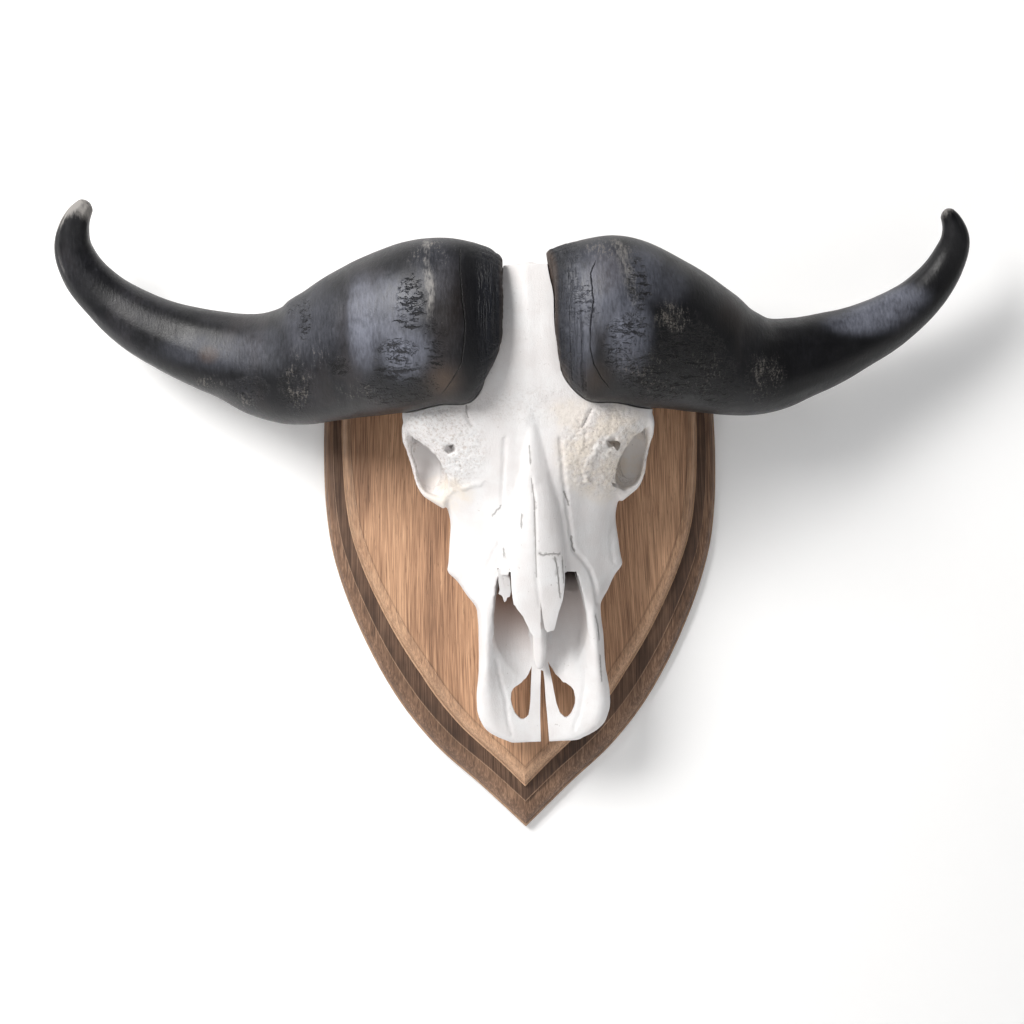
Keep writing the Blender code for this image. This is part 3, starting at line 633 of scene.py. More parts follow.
def patches(rings, spots):
    """Soft oval patches, 1 in the middle of each and fading out past its size."""
    total = np.zeros(rings.shape[:2])
    for *spot, strength in spots:
        x, z, wide, high = mm(spot)
        away = ((rings[..., 0] - x) / wide) ** 2 + ((rings[..., 2] - z) / high) ** 2
        total = np.maximum(total, np.exp(-away * away * 0.6) * strength)
    return within(total)


def horn_marks(rings, run, side):
    """Sculpted depth and the colour marks over a horn; side is -1 on the left, 1 on the right."""
    shape = rings.shape[:2]
    length = np.repeat(run[:, None], shape[1], axis=1)
    turn = np.repeat(turns(shape[1])[None], shape[0], axis=0)
    around = np.stack([np.cos(turn), np.sin(turn)], axis=2)

    def field(length_size, turn_size, seed):
        spot = np.concatenate([length[..., None] / length_size, around / turn_size], axis=2)
        return wavy(spot.reshape(-1, 3), (1, 1, 1), seed).reshape(shape)

    x, z, facing = rings[..., 0], rings[..., 2], outward(rings)
    front = within(-facing[..., 1] * 1.6)
    # Growth bands go round the horn as low swellings, with one step where the boss ends.
    wander = field(0.05, 0.8, 1) * 0.006

    def ripples(size, drift, twist, seed):
        spot = np.stack([(length + wander * drift) / size, turn * twist], axis=2)
        return wavy(spot.reshape(-1, 2), (1, 1), seed).reshape(shape)

    bands, fine = ripples(0.024, 1, 0.3, 2), ripples(0.0075, 1, 0.5, 3)
    lift = bands * BAND_LIFT + fine * FINE_LIFT
    step_at, step_depth = (0.1745, 0.0011) if side < 0 else (0.2320, 0.0004)
    past = side * x - step_at + wander * 0.6
    lift -= within(past / 0.007) * np.exp(-np.clip(past, 0, None) / 0.035) * front * step_depth
    # The rim of the boss is a stack of fibre layers.
    rim = within(1 - length / 0.034)
    lift += rim ** 0.6 * ripples(0.0034, 0.25, 1.2, 5) * LAYER_LIFT
    lift += rim * field(0.024, 0.045, 6) * FIBRE_LIFT
    # Low scales and dents.
    lift += field(0.060, 0.30, 7) * DENT_LIFT * within(length / 0.03)
    cracked = patches(rings, CRACKED[side]) * front
    lift += cracked * (field(0.012, 0.055, 8) * CRACKED_LIFT - 0.0003)
    lift -= SHEATH_CLEARANCE
    # Pale streak over the boss, brown patch low on it, and worn places.
    streak = fade(near_line(rings, STREAK[side]), 0.0115 if side < 0 else 0.020) * front
    streak *= within((z - 0.232) / 0.05) * (1.0 if side < 0 else 0.72)
    outer = within((length - 0.42) / 0.14)
    tips = within((length - run[-1] + (0.034 if side < 0 else 0.020)) / 0.022)
    edge = within(side * facing[..., 0] * 1.6 - 0.20) * outer * (1.0 if side < 0 else 0.25)
    worn = within(edge * (0.6 + 0.5 * field(0.02, 0.15, 15)) + tips * 0.75)
    brown = np.exp(-((x - side * 0.078) / 0.016) ** 2 - ((z - 0.190) / 0.016) ** 2) * front
    brown = np.maximum(brown * (0.8 if side < 0 else 0.3), within(1 - length / 0.0050) * 0.55)
    low_rim = within((0.215 - z) / 0.02) * within(1 - length / 0.016)
    brown = np.maximum(brown, low_rim * 0.9)
    brown = np.maximum(brown, patches(rings, RUDDY[side]) * front)
    # Painted sheen where the light gleams on the boss and the hooks, with some weathered greying.
    bloom = patches(rings, SHEEN_AND_BLOOM[side]) * front
    if side < 0:
        # On the left the painted sheen stops sharply at the growth step.
        bloom *= within(1 - (past + 0.001) / 0.003) * 0.5 + 0.5
    line_x, line_z = np.array(SPLITS[side][::-1]).T
    split = np.clip((x - np.interp(z, line_z, line_x)) / 0.010, -1, 1)
    ends = within((z - line_z[0]) / 0.006) * within((line_z[-1] - z) / 0.006)
    flecked = patches(rings, FLECKED[side]) * front
    return lift, {"worn": worn, "streak": within(streak), "brown": brown, "bloom": bloom, "rim": rim,
                  "cracked": cracked, "flecked": flecked, "bands": bands * 0.5 + 0.5, "split": split,
                  "splitting": ends * front, "facing": within(front * 2)}


# Deep cracks that lie level: sideways, height, half length, width.
LEVEL_CRACKS = mm({
    -1: [(-119, 203, 24, 1.6), (-133, 196.5, 12, 1), (-108, 194, 12, 1.1), (-124, 214, 10, 0.9),
         (-118, 221.5, 13, 1.1), (-126, 229, 10, 0.9), (-108, 247, 13, 1.2), (-120, 253, 10, 0.9),
         (-101, 260, 10, 0.9), (-113, 270, 9, 1), (-104, 276, 10, 0.9), (-185, 209, 10, 1.3),
         (-183, 204, 8, 1), (-142, 205, 9, 0.9), (-84, 209, 10, 0.9)],
    1: [(113, 244, 8, 1.2), (118, 237, 9, 1), (129, 286, 10, 1.2), (125, 295, 8, 1), (131, 276, 9, 1),
        (170, 226, 16, 1), (156, 215, 14, 1.1), (180, 208, 18, 1), (145, 198, 15, 1), (176, 194, 16, 1),
        (164, 186, 14, 1)],
})


def horn_finish(name, side):
    """Dark keratin with a dull sheen: greyed over the boss and hooks by a painted sheen and some weathering,
    cracked over the boss, fibres at its rim.
    """
    material, wire, shader = new_finish(name)
    spot = wire.node("ShaderNodeTexCoord", output="Object")
    sideways = spot.node("ShaderNodeSeparateXYZ", {}, {0: spot}, 0)
    height = spot.node("ShaderNodeSeparateXYZ", {}, {0: spot}, 2)
    height = height + (spot.cloud(85.0, 3.0, 0.7) - 0.5) * 0.010 + (spot.cloud(380.0, 2.0) - 0.5) * 0.0022
    gashes = sideways * 0.0
    for middle, level, reach, width in LEVEL_CRACKS[side]:
        taper = (1.0 - (sideways - middle).size() / reach).held()
        gash = (taper * 1.8 - (height - level).size() / width).held()
        gashes = gashes.math("MAXIMUM", gashes, gash)
    worn, streak, brown, bloom, rim, cracked = map(
        wire.mark, ("worn", "streak", "brown", "bloom", "rim", "cracked"))
    flecked, bands, split, splitting, facing = map(
        wire.mark, ("flecked", "bands", "split", "splitting", "facing"))
    mottle = spot.cloud(42.0, 5.0, 0.65)
    patchy = spot.stretched(1.0, 1.0, 0.55).cloud(15.0, 3.0, 0.55)
    specks = spot.cloud(620.0, 3.0, 0.7)
    grain = spot.stretched(1.0, 0.4, 0.30).cloud(420.0, 3.0, 0.6)
    # Short cracks lie level; thin ones join into a net between them.
    dashes = spot.stretched(0.26, 0.6, 1.0).cloud(430.0, 2.0, 0.6, 0.5)
    net = spot.stretched(0.45, 0.7, 1.0).cloud(210.0, 3.0, 0.6, 0.8)
    broken = spot.cloud(120.0, 2.0).rise(0.36, 0.56)
    net = (1.0 - (net - 0.5).size() * 26.0).held() * broken
    deep = (dashes + (mottle - 0.5) * 0.5 + cracked * 0.12).rise(0.68, 0.74) * cracked.rise(0.10, 0.55)
    cracks = (deep * 0.8 + net * cracked.rise(0.25, 0.75) * 0.7 + gashes * facing).held()
    stray = (spot.cloud(130.0, 5.0, 0.75) - 0.5) * 0.34
    away = split + stray
    parting = (1.0 - away.size() * 11.0).held() * splitting * (mottle * 2.2 - 0.35).held()
    # The rim: upright fibres crossed by fine breaks.
    fibres = spot.stretched(1.0, 0.5, 0.06).cloud(560.0, 3.0, 0.6)
    breaks = spot.stretched(0.20, 0.5, 1.0).cloud(520.0, 2.0, 0.6)
    fibre_lines = ((0.50 - fibres).held() * 5.0 + (0.42 - breaks).held() * 6.0).held() * rim.rise(0.02, 0.45)
    tone = mottle * 0.55 + (bands - 0.5) * 0.22 + (grain - 0.5) * 0.45 + (patchy - 0.5) * 0.5
    # The right horn's keratin is darker than the left's: painted shade for the horn on the side away from
    # the light.
    light, dark = ((0.030, 0.030, 0.037, 1), (0.0045, 0.0046, 0.0060, 1)) if side < 0 else (
        (0.017, 0.017, 0.021, 1), (0.0030, 0.0030, 0.0040, 1))
    # Painted sheen on the boss and hooks, broken up by the mottle and grain.
    sheen_haze = bloom * (mottle * 0.9 + (grain - 0.5) * 1.0 + 0.20)
    rub = (streak + (mottle - 0.5) * 2.2 + (grain - 0.5) * 1.8).rise(0.30, 1.45) * streak.rise(0.0, 0.8)
    flecks = (grain * 0.7 + specks * 0.6 + (mottle - 0.5) * 0.6 + flecked * 0.12).rise(0.77, 0.89) * flecked
    wear = (worn * 1.5 + (mottle - 0.5) * 1.0 + (grain - 0.5) * 0.9).rise(0.45, 1.3) * worn.rise(0.0, 0.3)
    lines = cracks * 0.85 + parting * 0.9 + fibre_lines * 0.45
    colour = coats(tone.rise(0.16, 0.74).tint(dark, light),
                   (patchy.rise(0.52, 0.68) * 0.35, (0.031, 0.0245, 0.0235)),
                   (sheen_haze.held(), (0.178, 0.188, 0.232)),
                   (rim.rise(0.0, 0.6) * 0.55, (0.017, 0.019, 0.026)),
                   ((rub * 0.80).held(), (0.270, 0.258, 0.245)),
                   ((flecks * 0.70).held(), (0.210, 0.192, 0.170)),
                   ((brown * (specks * 0.7 + mottle * 0.5)).held(), (0.115, 0.072, 0.045)),
                   ((wear * 0.85).held(), (0.290, 0.275, 0.260)),
                   (lines.held(), (0.0035, 0.0033, 0.0040)))
    rough = 0.44 + (mottle - 0.5) * 0.30 + cracks * 0.3 + wear * 0.2 + (grain - 0.5) * 0.25 + rim * 0.10
    relief = (grain * 0.12 + specks * 0.06 + mottle * 0.22 - cracks * 0.85 - parting * 0.8
              - fibre_lines * 0.28 + flecks * 0.15)
    bump = wire.node("ShaderNodeBump", {}, {"Strength": 1.0, "Distance": 0.0026, "Height": relief})
    lay(shader, Base_Color=colour, Roughness=rough.held(), Normal=bump, Specular_IOR_Level=0.36)
    return material


for horn_side, horn_name, stations in ((-1, "horn_left", HORN_LEFT), (1, "horn_right", HORN_RIGHT)):
    rings, run = horn_rings(stations, HORN_RINGS, HORN_SIDES)
    lift, marks = horn_marks(rings, run, horn_side)
    rings = rings + outward(rings) * lift[..., None]
    points, faces = closed_rings(rings)
    if horn_side > 0:
        faces = [face[::-1] for face in faces]
    horn = piece_from("sheath_" + horn_name, points, faces)
    for key, values in marks.items():
        padded = np.vstack([values[:1]] * 4 + [values] + [values[-1:]] * 4)
        set_mark(horn, key, padded)
    mellow(horn)
    horn.data.materials.append(horn_finish("keratin of " + horn_name, horn_side))
    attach(horn, "root")
    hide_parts(horn_name)


# The skull
# One bleached upper skull of a buffalo bull, no lower jaw, grown as a single piece. The brow
# and the bone round the eyes are rough and pitted, the nose bones are split and chipped at
# their tips, and the palate shows through the open nose. It rests on its teeth on the panel.
SKULL_TIP = (0.0222, -0.194)
SKULL_LEAN = math.radians(1.4)
SKULL_REST = PANEL_FRONT + FIT_GAP
# The right half of the face is a little narrower than the left, from the cheeks up.
RIGHT_SIDE = 0.93
CHEEK_FOOT = (0.12, 0.19)
SOCKET_GAP = 0.0006

# Right half of the bone's cross-sections, tip of the jaw to the back of the head. Each is a
# height along the skull and eight points from the middle of the face, round the side, to the
# middle of the palate: sideways, distance from the wall.
FACE_SECTIONS = mm([
    (-1, [(0, 83), (10, 84), (22, 85), (32, 84), (37, 81), (33, 78), (26, 76.8), (0, 76.8)]),
    (9, [(0, 84), (18, 86), (36, 89), (50, 89), (57, 84), (53, 79), (40, 76.5), (0, 76.5)]),
    (30, [(0, 84), (22, 87), (44, 92), (61, 96), (71.5, 88), (67, 80), (52, 76.5), (0, 76.5)]),
    (50, [(0, 85), (22, 88), (46, 95), (63, 101), (73, 92), (69, 81), (55, 77), (0, 76.5)]),
    (80, [(0, 88), (24, 92), (47, 104), (60.5, 113), (68.5, 100), (66, 83), (54, 78), (0, 77)]),
    (110, [(0, 93), (26, 99), (45.5, 113), (58.5, 123), (67.2, 106), (65, 85), (54, 78), (0, 77)]),
    (140, [(0, 108), (28, 114), (44, 126), (57, 131), (66.5, 108), (65.5, 86), (55, 78), (0, 77)]),
    (149, [(0, 120), (27, 124), (44, 131), (58, 131), (68, 106), (66.5, 86), (56, 77.5), (0, 76.5)]),
    (162, [(0, 137), (26, 138), (44, 138), (60, 131), (77.2, 103.5), (74.5, 86), (58, 77), (0, 76)]),
    (180, [(0, 154), (26, 150), (45, 141), (67, 126), (89.2, 101), (85.5, 87), (62, 76), (0, 75)]),
    (190, [(0, 160), (26, 154), (47, 142), (71, 125), (98.5, 100), (92.5, 88), (64, 76), (0, 75)]),
    (198, [(0, 163), (27, 156), (48, 143), (73, 126), (97.5, 102), (91.5, 89), (65, 75.5), (0, 74.5)]),
    (215, [(0, 168), (28, 161), (50, 146), (76, 128), (95, 108), (92, 90), (66, 75), (0, 74)]),
    (245, [(0, 176), (28, 168), (53, 152), (79, 136), (92, 116), (90, 93), (66, 75), (0, 74)]),
    (268, [(0, 182), (29, 175), (57, 161), (83, 149), (97, 130), (92, 100), (62, 76), (0, 75)]),
    (295, [(0, 188), (34, 185), (64, 177), (90, 166), (102, 152), (80, 120), (52, 80), (0, 78)]),
    (320, [(0, 194), (40, 193), (74, 189), (100, 180), (113, 166), (78, 130), (45, 85), (0, 82)]),
    (345, [(0, 200), (46, 200), (86, 196), (120, 187), (134.5, 168), (80, 135), (42, 90), (0, 86)]),
    (370, [(0, 207), (44, 205), (82, 199), (121, 187), (135, 166), (78, 135), (42, 90), (0, 84)]),
    (400, [(0, 215), (40, 211), (72, 200), (99, 181), (104, 160), (76, 130), (42, 85), (0, 80)]),
    (440, [(0, 221), (38, 216), (62, 202), (80, 180), (80, 155), (70, 120), (40, 82), (0, 78)]),
    (480, [(0, 220), (36, 214), (60, 200), (74, 178), (74, 155), (62, 125), (38, 100), (0, 92)]),
    (508, [(0, 214), (34, 209), (54, 196), (66, 178), (66, 160), (56, 140), (34, 125), (0, 120)]),
])
# Roof of the nose: height, half width, distance of the ridge from the wall, thickness.
NASAL_RIDGE = mm([
    (111.5, 13, 142.5, 4.5), (120, 16.5, 144.5, 5), (134, 22.5, 148.5, 5.5), (150, 29, 154, 7),
    (168, 30.5, 161, 9), (190, 31, 168, 13), (230, 31, 180, 22), (285, 26.5, 191, 26),
    (330, 19, 198.5, 26), (362, 9, 202, 22),
])
# What the weather has taken off the nose roof, seen from the front: sideways, height.
NOSE_CHIPS = mm([
    [(-29.6, 188), (-29.6, 164.5), (-28.8, 160), (-28, 153.4), (-26.2, 151.5), (-24.6, 148.3),
     (-18.6, 140.1), (-15.2, 131.9), (-13.8, 129), (-12.1, 124.1), (-8.8, 118.8), (-7, 117.6),
     (-5.3, 115.3), (-3, 116.2), (-1.3, 115.6), (-0.1, 120.6), (-0.1, 105), (-42, 105), (-42, 160),
     (-31.5, 188)],
    [(29.3, 179), (28.7, 172.8), (27.3, 165.4), (26.2, 160), (25, 155.5), (21.8, 147.4), (19.6, 142),
     (19, 140.1), (16.4, 130.6), (15, 126.2), (13.6, 123.2), (11.5, 123.6), (9.5, 122.8), (6.3, 121.6),
     (5.2, 124.5), (3.9, 122), (-0.3, 112), (-0.3, 105), (42, 105), (42, 179)],
    [(-0.1, 110), (-0.1, 120.6), (-0.4, 130.2), (0.1, 139.8), (0.8, 156), (1.2, 150), (2.5, 137.6),
     (3.7, 127.9), (5.2, 122.5), (4.5, 110)],
])
# Ragged splinter left of the roof, and the broken corner that leaves a hole right of it.
SPLINTER = mm([(-43.3, 191.5), (-43.1, 176.5), (-42.4, 169), (-43.8, 164.7), (-42.5, 163.8),
               (-40.9, 163.2), (-39.5, 161.3), (-38.8, 158.5), (-37.8, 155.3), (-35.8, 156.9),
               (-35.2, 159), (-34.2, 160.6), (-31.8, 161), (-30.5, 166.3), (-30.7, 176), (-30, 191.5)])
BROKEN_CORNER = mm([(29.6, 184.9), (33, 186), (37, 185.7), (43.4, 185.1), (43.9, 179.5), (42.5, 170),
                    (34.7, 165), (29, 164)])
# Bony tongue behind the tips: height, left, right, back, front, crest.
TONGUE = mm([
    (79.2, -3.8, -1.2, 98, 103, 1), (82, -6.7, 1.4, 96, 105, 2), (90.5, -9, 4.4, 94, 107.5, 3),
    (101, -9, 6, 92, 110, 3.5), (119, -8.6, 6.7, 92, 115, 3.5), (160, -7, 6, 92, 130, 2),
])
# The slots through the front of the palate, and the gap between the tips of the jaw bones.
PALATE_SLOTS = mm([
    [(-11.1, 82.4), (-15, 74.2), (-18.2, 69.6), (-20.5, 68.2), (-23, 65.4), (-27.4, 62.5), (-30, 61.2),
     (-32.4, 59.2), (-34.7, 54.9), (-35.6, 46.8), (-34.3, 39.6), (-31.5, 31.8), (-27.4, 26.6),
     (-25, 24.9), (-22.3, 24.6), (-19.5, 26), (-17, 28.4), (-15.4, 35), (-14.1, 44.3), (-12.7, 63.9)],
    [(6.7, 86.8), (9.2, 82), (11.5, 78.5), (14.5, 72.6), (16, 71.5), (19.2, 68), (22.4, 63.7),
     (25, 63.2), (26.9, 61.8), (30.9, 58.8), (33.8, 54.3), (35.1, 45.2), (34.5, 39), (32.4, 33.6),
     (30, 29), (26.9, 25.8), (24.7, 24.8), (22.5, 25), (17.6, 29.9), (14.3, 40.3), (11.9, 55.1),
     (9.7, 69.9)],
    [(-1.2, 77.7), (-2.6, 58.6), (-3.3, 44), (-4.1, 28.6), (-4.7, -6), (4.8, -6), (3.6, 28.3),
     (2.7, 43.7), (2.2, 66.6), (1.3, 76.5)],
])
# Thin outer rim of the eye socket and the cheek arch: sideways, wall distance, height, half
# width across the view, half depth.
ORBIT_RIM = mm([
    (96, 126, 264, 7, 11), (107.5, 126, 269, 4.5, 10), (118.3, 126.5, 275.2, 2.8, 9),
    (125, 127, 286.8, 2.2, 9), (128.7, 129, 306, 2.2, 9), (132.4, 134, 320, 2.6, 10),
    (133.5, 145, 334, 5, 14), (131, 156, 345, 7, 15), (123, 166, 354, 10, 14),
])
CHEEK_ARCH = mm([
    (114, 120, 284, 6, 12), (125, 114, 316, 6, 12), (124, 107, 356, 6, 11),
    (113, 105, 394, 6.5, 11), (94, 110, 424, 9, 13), (64, 118, 438, 13, 16),
])
# Bony column beside the ear that reaches down towards the board.
EAR_COLUMN = mm([(52, 110, 436, 15, 14), (56, 78, 436, 10, 12), (57, 52, 433, 6, 8)])
PALATE_WING = mm([(27, 100, 372, 4, 20), (25, 82, 345, 3.5, 16), (26, 74, 312, 5, 12)])
# The open nose and the tunnel behind it: height, half width, lowest and highest from the wall.
NOSE_OPENING = mm([
    (40, 24, 89, 200), (52, 36.5, 87, 200), (66, 42.5, 86, 200), (85, 47.5, 85, 200),
    (106, 51, 85, 200), (121, 52, 85.5, 200), (140, 51.5, 87, 200), (162, 48.5, 90, 200),
    (178, 45.5, 94, 200), (184, 43.5, 100, 200),
])
NOSE_TUNNEL = mm([(165, 44, 92, 150), (200, 40, 92, 146), (250, 34, 92, 146), (285, 22, 96, 136)])
TOOTH_ROW = (0.164, 0.304)
TOOTH_COUNT = 6
TOOTH_SIDE = 0.056
TOOTH_WIDTH = 0.023
TOOTH_GAP = 0.0009
# From the chewing face to the root: distance from the wall, size, depth of the worn hollows.
TOOTH_RINGS = [(SKULL_REST + 0.0026, 0.30, 0.0), (SKULL_REST + 0.0016, 0.62, 0.0012),
               (SKULL_REST, 0.86, 0.0024), (SKULL_REST + 0.0016, 0.95, 0.0014),
               (0.052, 1.0, 0.0), (0.070, 1.0, 0.0), (0.088, 0.94, 0.0)]
BONE_GRAIN = 0.00165
HELPER_GRAIN = 0.0014
TRIANGLES = 190000
BONE_CREASE = 50
LUMP_SIDES, LUMP_RINGS = 32, 19
TOOTH_SIDES = 48


def place(x, out, z):
    """Point of the skull, given sideways, from the wall and along the skull, in the frame."""
    c, s = math.cos(SKULL_LEAN), math.sin(SKULL_LEAN)
    if x > 0:
        above = min(max((z - CHEEK_FOOT[0]) / (CHEEK_FOOT[1] - CHEEK_FOOT[0]), 0.0), 1.0)
        x *= 1 - (1 - RIGHT_SIDE) * above
    return (SKULL_TIP[0] + x * c - z * s, -out, SKULL_TIP[1] + x * s + z * c)


def closed(rings):
    """Closed solid over a stack of rings, faces turned outwards."""
    count = len(rings[0])
    points = np.array([point for ring in rings for point in ring], float)
    faces = []
    for low, high in zip(range(len(rings) - 1), range(1, len(rings))):
        for i in range(count):
            j = (i + 1) % count
            a, b, c, d = low * count + i, low * count + j, high * count + j, high * count + i
            faces += [(a, b, c), (a, c, d)]
    faces += [(0, i + 1, i) for i in range(1, count - 1)]
    last = count * (len(rings) - 1)
    faces += [(last, last + i, last + i + 1) for i in range(1, count - 1)]
    a, b, c = (points[corner] for corner in np.array(faces).T)
    volume = np.einsum("ij,ij->i", a, np.cross(b, c)).sum()
    return points, faces if volume > 0 else [face[::-1] for face in faces]


def together(name, solids):
    points, faces, start = [], [], 0
    for some, its in solids:
        points.append(some)
        faces += [tuple(i + start for i in face) for face in its]
        start += len(some)
    data = bpy.data.meshes.new(name)
    data.from_pydata(np.vstack(points).tolist(), [], faces)
    return added(name, data)


def face_loft():
    heights = [height for height, _ in FACE_SECTIONS]
    flat = np.array([np.array(points).ravel() for _, points in FACE_SECTIONS])
    even = np.linspace(heights[0], heights[-1], 200)
    rings = []
    for z, row in zip(even, spline(flat, len(even), np.array(heights))):
        half = row.reshape(-1, 2)
        loop = np.vstack([half, half[-2:0:-1] * (-1, 1), half[:1]])
        rings.append([place(x, out, z) for x, out in spline(loop, 97)[:-1]])
    return closed(rings)


def tube(stations, mirror=1, sides=20, count=36):
    """Bony bar of oval section along a path: sideways, out, height, half width, half depth."""
    path = spline(stations, count)
    along = np.gradient(path[:, :3], axis=0)
    along /= np.linalg.norm(along, axis=1)[:, None]
    rings = []
    for (x, out, z, wide, deep), way in zip(path, along):
        across = np.cross(way, (0, 1, 0))
        if np.linalg.norm(across) < 0.3:
            across = np.array((1.0, 0, 0))
        across = across / np.linalg.norm(across)
        other = np.cross(across, way)
        ring = []
        for turn in turns(sides):
            spot = np.array((x, out, z)) + across * wide * math.cos(turn) + other * deep * math.sin(turn)
            ring.append(place(mirror * spot[0], spot[1], spot[2]))
        rings.append(ring)
    return closed(rings)


def lump(centre, radii, turn=0.0, mirror=1):
    """Rounded knob; turn tips it in the plane of the face."""
    c, s = math.cos(turn), math.sin(turn)
    rings = []
    for up in np.linspace(-0.5, 0.5, LUMP_RINGS) * math.pi * 0.985:
        ring = []
        for way in turns(LUMP_SIDES):
            x = math.cos(up) * math.cos(way) * radii[0]
            out = math.cos(up) * math.sin(way) * radii[1]
            z = math.sin(up) * radii[2]
            spot = centre[0] + x * c - z * s, centre[1] + out, centre[2] + x * s + z * c
            ring.append(place(mirror * spot[0], spot[1], spot[2]))
        rings.append(ring)
    return closed(rings)


def wedge(rows):
    """Cutter or plate from rows of (height, left, right, back, front)."""
    rings = []
    for z, left, right, back, front in rows:
        corners = (left, back), (right, back), (right, front), (left, front)
        rings.append([place(x, out, z) for x, out in corners])
    return closed(rings)


def keel(rows):
    """Plate with a ridged front: rows of (height, left, right, back, front, crest)."""
    rings = []
    for z, left, right, back, front, crest in rows:
        ridge = left * 0.42 + right * 0.58
        rings.append([place(left, back, z), place(right, back, z), place(right, front, z),
                      place(ridge, front + crest, z), place(left, front, z)])
    return closed(rings)


def slab(outline, back, front, tilt=0.0):
    """Flat plate of any outline in the plane of the face; tilt leans its front out upwards."""
    low = min(z for _, z in outline)
    rings = [[place(x, out + (z - low) * tilt, z) for x, z in outline] for out in (back, front)]
    points = np.array(rings[0] + rings[1])
    faces = ring_faces(2, len(outline))
    area = sum(a[0] * b[1] - b[0] * a[1] for a, b in zip(outline, outline[1:] + outline[:1]))
    return points, faces if area > 0 else [face[::-1] for face in faces]


def tooth(low, pitch, middle, half, side):
    """Cheek tooth of a grazing animal: upright pillars with grooves between, worn flat at the end."""
    turn = turns(TOOTH_SIDES)
    reach, wide = squared(np.cos(turn), 0.5), squared(np.sin(turn), 0.5)
    groove = 1 - np.abs(np.cos(math.pi * reach))
    rings = []
    for out, size, wear in TOOTH_RINGS:
        rings.append([place(side * (middle + w * half * size * (1 - 0.20 * g)), out + g * wear,
                            low + pitch / 2 + r * (pitch / 2 - TOOTH_GAP) * size)
                      for r, w, g in zip(reach, wide, groove)])
    return closed(rings)


def nasal_loft():
    """Pair of nasal bones: a rounded roof that narrows to the split tips."""
    rings = []
    for z, wide, ridge, thick in spline(NASAL_RIDGE, 60):
        ring = [place(wide * math.cos(turn), ridge - thick + thick * math.sin(turn), z)
                for turn in np.linspace(0, math.pi, 25)]
        ring += [place(-wide * 0.55, ridge - thick - 0.003, z), place(wide * 0.55, ridge - thick - 0.003, z)]
        rings.append(ring)
    return closed(rings)


def oval_shaft(rows, sides=40):
    """Cutter of oval sections across the skull: height, half width, lowest, highest."""
    rings = []
    for z, wide, low, high in rows:
        ring = []
        for turn in turns(sides):
            c, s = math.cos(turn), math.sin(turn)
            x = math.copysign(abs(c) ** 0.75, c) * wide
            ring.append(place(x, (low + high) / 2 + math.copysign(abs(s) ** 0.75, s) * (high - low) / 2, z))
        rings.append(ring)
    return closed(rings)


def fuse(piece, size):
    step = piece.modifiers.new("fuse", "REMESH")
    step.mode = "VOXEL"
    step.voxel_size = size


def cut(piece, cutter, operation="DIFFERENCE"):
    step = piece.modifiers.new(cutter.name, "BOOLEAN")
    step.operation = operation
    step.solver = "MANIFOLD"
    step.object = cutter
    cutter.hide_render = True
    return cutter


def settle(piece):
    """Works out the piece's modifiers and keeps the result as its mesh."""
    done = bpy.data.meshes.new_from_object(piece.evaluated_get(bpy.context.evaluated_depsgraph_get()))
    piece.modifiers.clear()
    piece.data = done


def surface(piece):
    """The points of a piece and the way each one faces."""
    for rows, field in ((piece.data.vertices, "co"), (piece.data.vertex_normals, "vector")):
        flat = np.empty(len(rows) * 3, np.float32)
        rows.foreach_get(field, flat)
        yield flat.reshape(-1, 3).astype(float)


bones = [face_loft(), lump((0, 0.178, 0.504), (0.020, 0.020, 0.010))]
late_bones = [nasal_loft(), keel(TONGUE),
              wedge([(0.150, -0.0030, 0.0030, 0.084, 0.140), (0.290, -0.0030, 0.0030, 0.086, 0.160)])]
for side in (1, -1):
    bones += [tube(CHEEK_ARCH, side), tube(EAR_COLUMN, side)]
    late_bones.append(tube(ORBIT_RIM, side))
    bones.append(tube(PALATE_WING, side, sides=16, count=24))
    bones.append(lump((0.094, 0.124, 0.305), (0.037, 0.026, 0.044), 0, side))
    bones.append(lump((0.027, 0.087, 0.470), (0.016, 0.022, 0.018), 0.3, side))
    bones.append(lump((0.043, 0.090, 0.404), (0.014, 0.017, 0.019), 0, side))
    pitch = (TOOTH_ROW[1] - TOOTH_ROW[0]) / TOOTH_COUNT
    for number in range(TOOTH_COUNT):
        low = TOOTH_ROW[0] + pitch * number
        half = TOOTH_WIDTH / 2 * (0.78 + 0.05 * number)
        middle = TOOTH_SIDE + 0.003 * math.sin(math.pi * (number + 0.5) / TOOTH_COUNT)
        late_bones.append(tooth(low, pitch, middle, half, side))

# Hollows: the open nose and the tunnel behind it, the eye sockets with the hollow of the
# temple behind them and the small holes in the brow, and the underside.
nose_hollow = together("nose hollow", [oval_shaft(NOSE_OPENING), oval_shaft(NOSE_TUNNEL)])
eye_hollow = together("eye hollows", [
    hollow for side in (1, -1) for hollow in (
        lump((0.1155, 0.1440, 0.3045), (0.0240, 0.0330, 0.0385), -0.30, side),
        lump((0.098, 0.112, 0.386), (0.030, 0.042, 0.036), 0, side),
        lump((0.088, 0.188, 0.320), (0.0065, 0.016, 0.0055), 0, side))])
under_hollow = together("underside hollows", [
    lump((0, 0.104, 0.500), (0.018, 0.017, 0.036)),
    lump((0, 0.078, 0.330), (0.017, 0.026, 0.040)),
    lump((0, 0.068, 0.225), (0.036, 0.014, 0.070))])
late_bone = together("nose roof and teeth", late_bones)
for helper in (nose_hollow, eye_hollow, under_hollow, late_bone):
    fuse(helper, HELPER_GRAIN)
skull = together("bleached_skull", bones)
fuse(skull, BONE_GRAIN)
helpers = [cut(skull, nose_hollow), cut(skull, eye_hollow), cut(skull, under_hollow),
           cut(skull, late_bone, "UNION")]
fuse(skull, BONE_GRAIN)
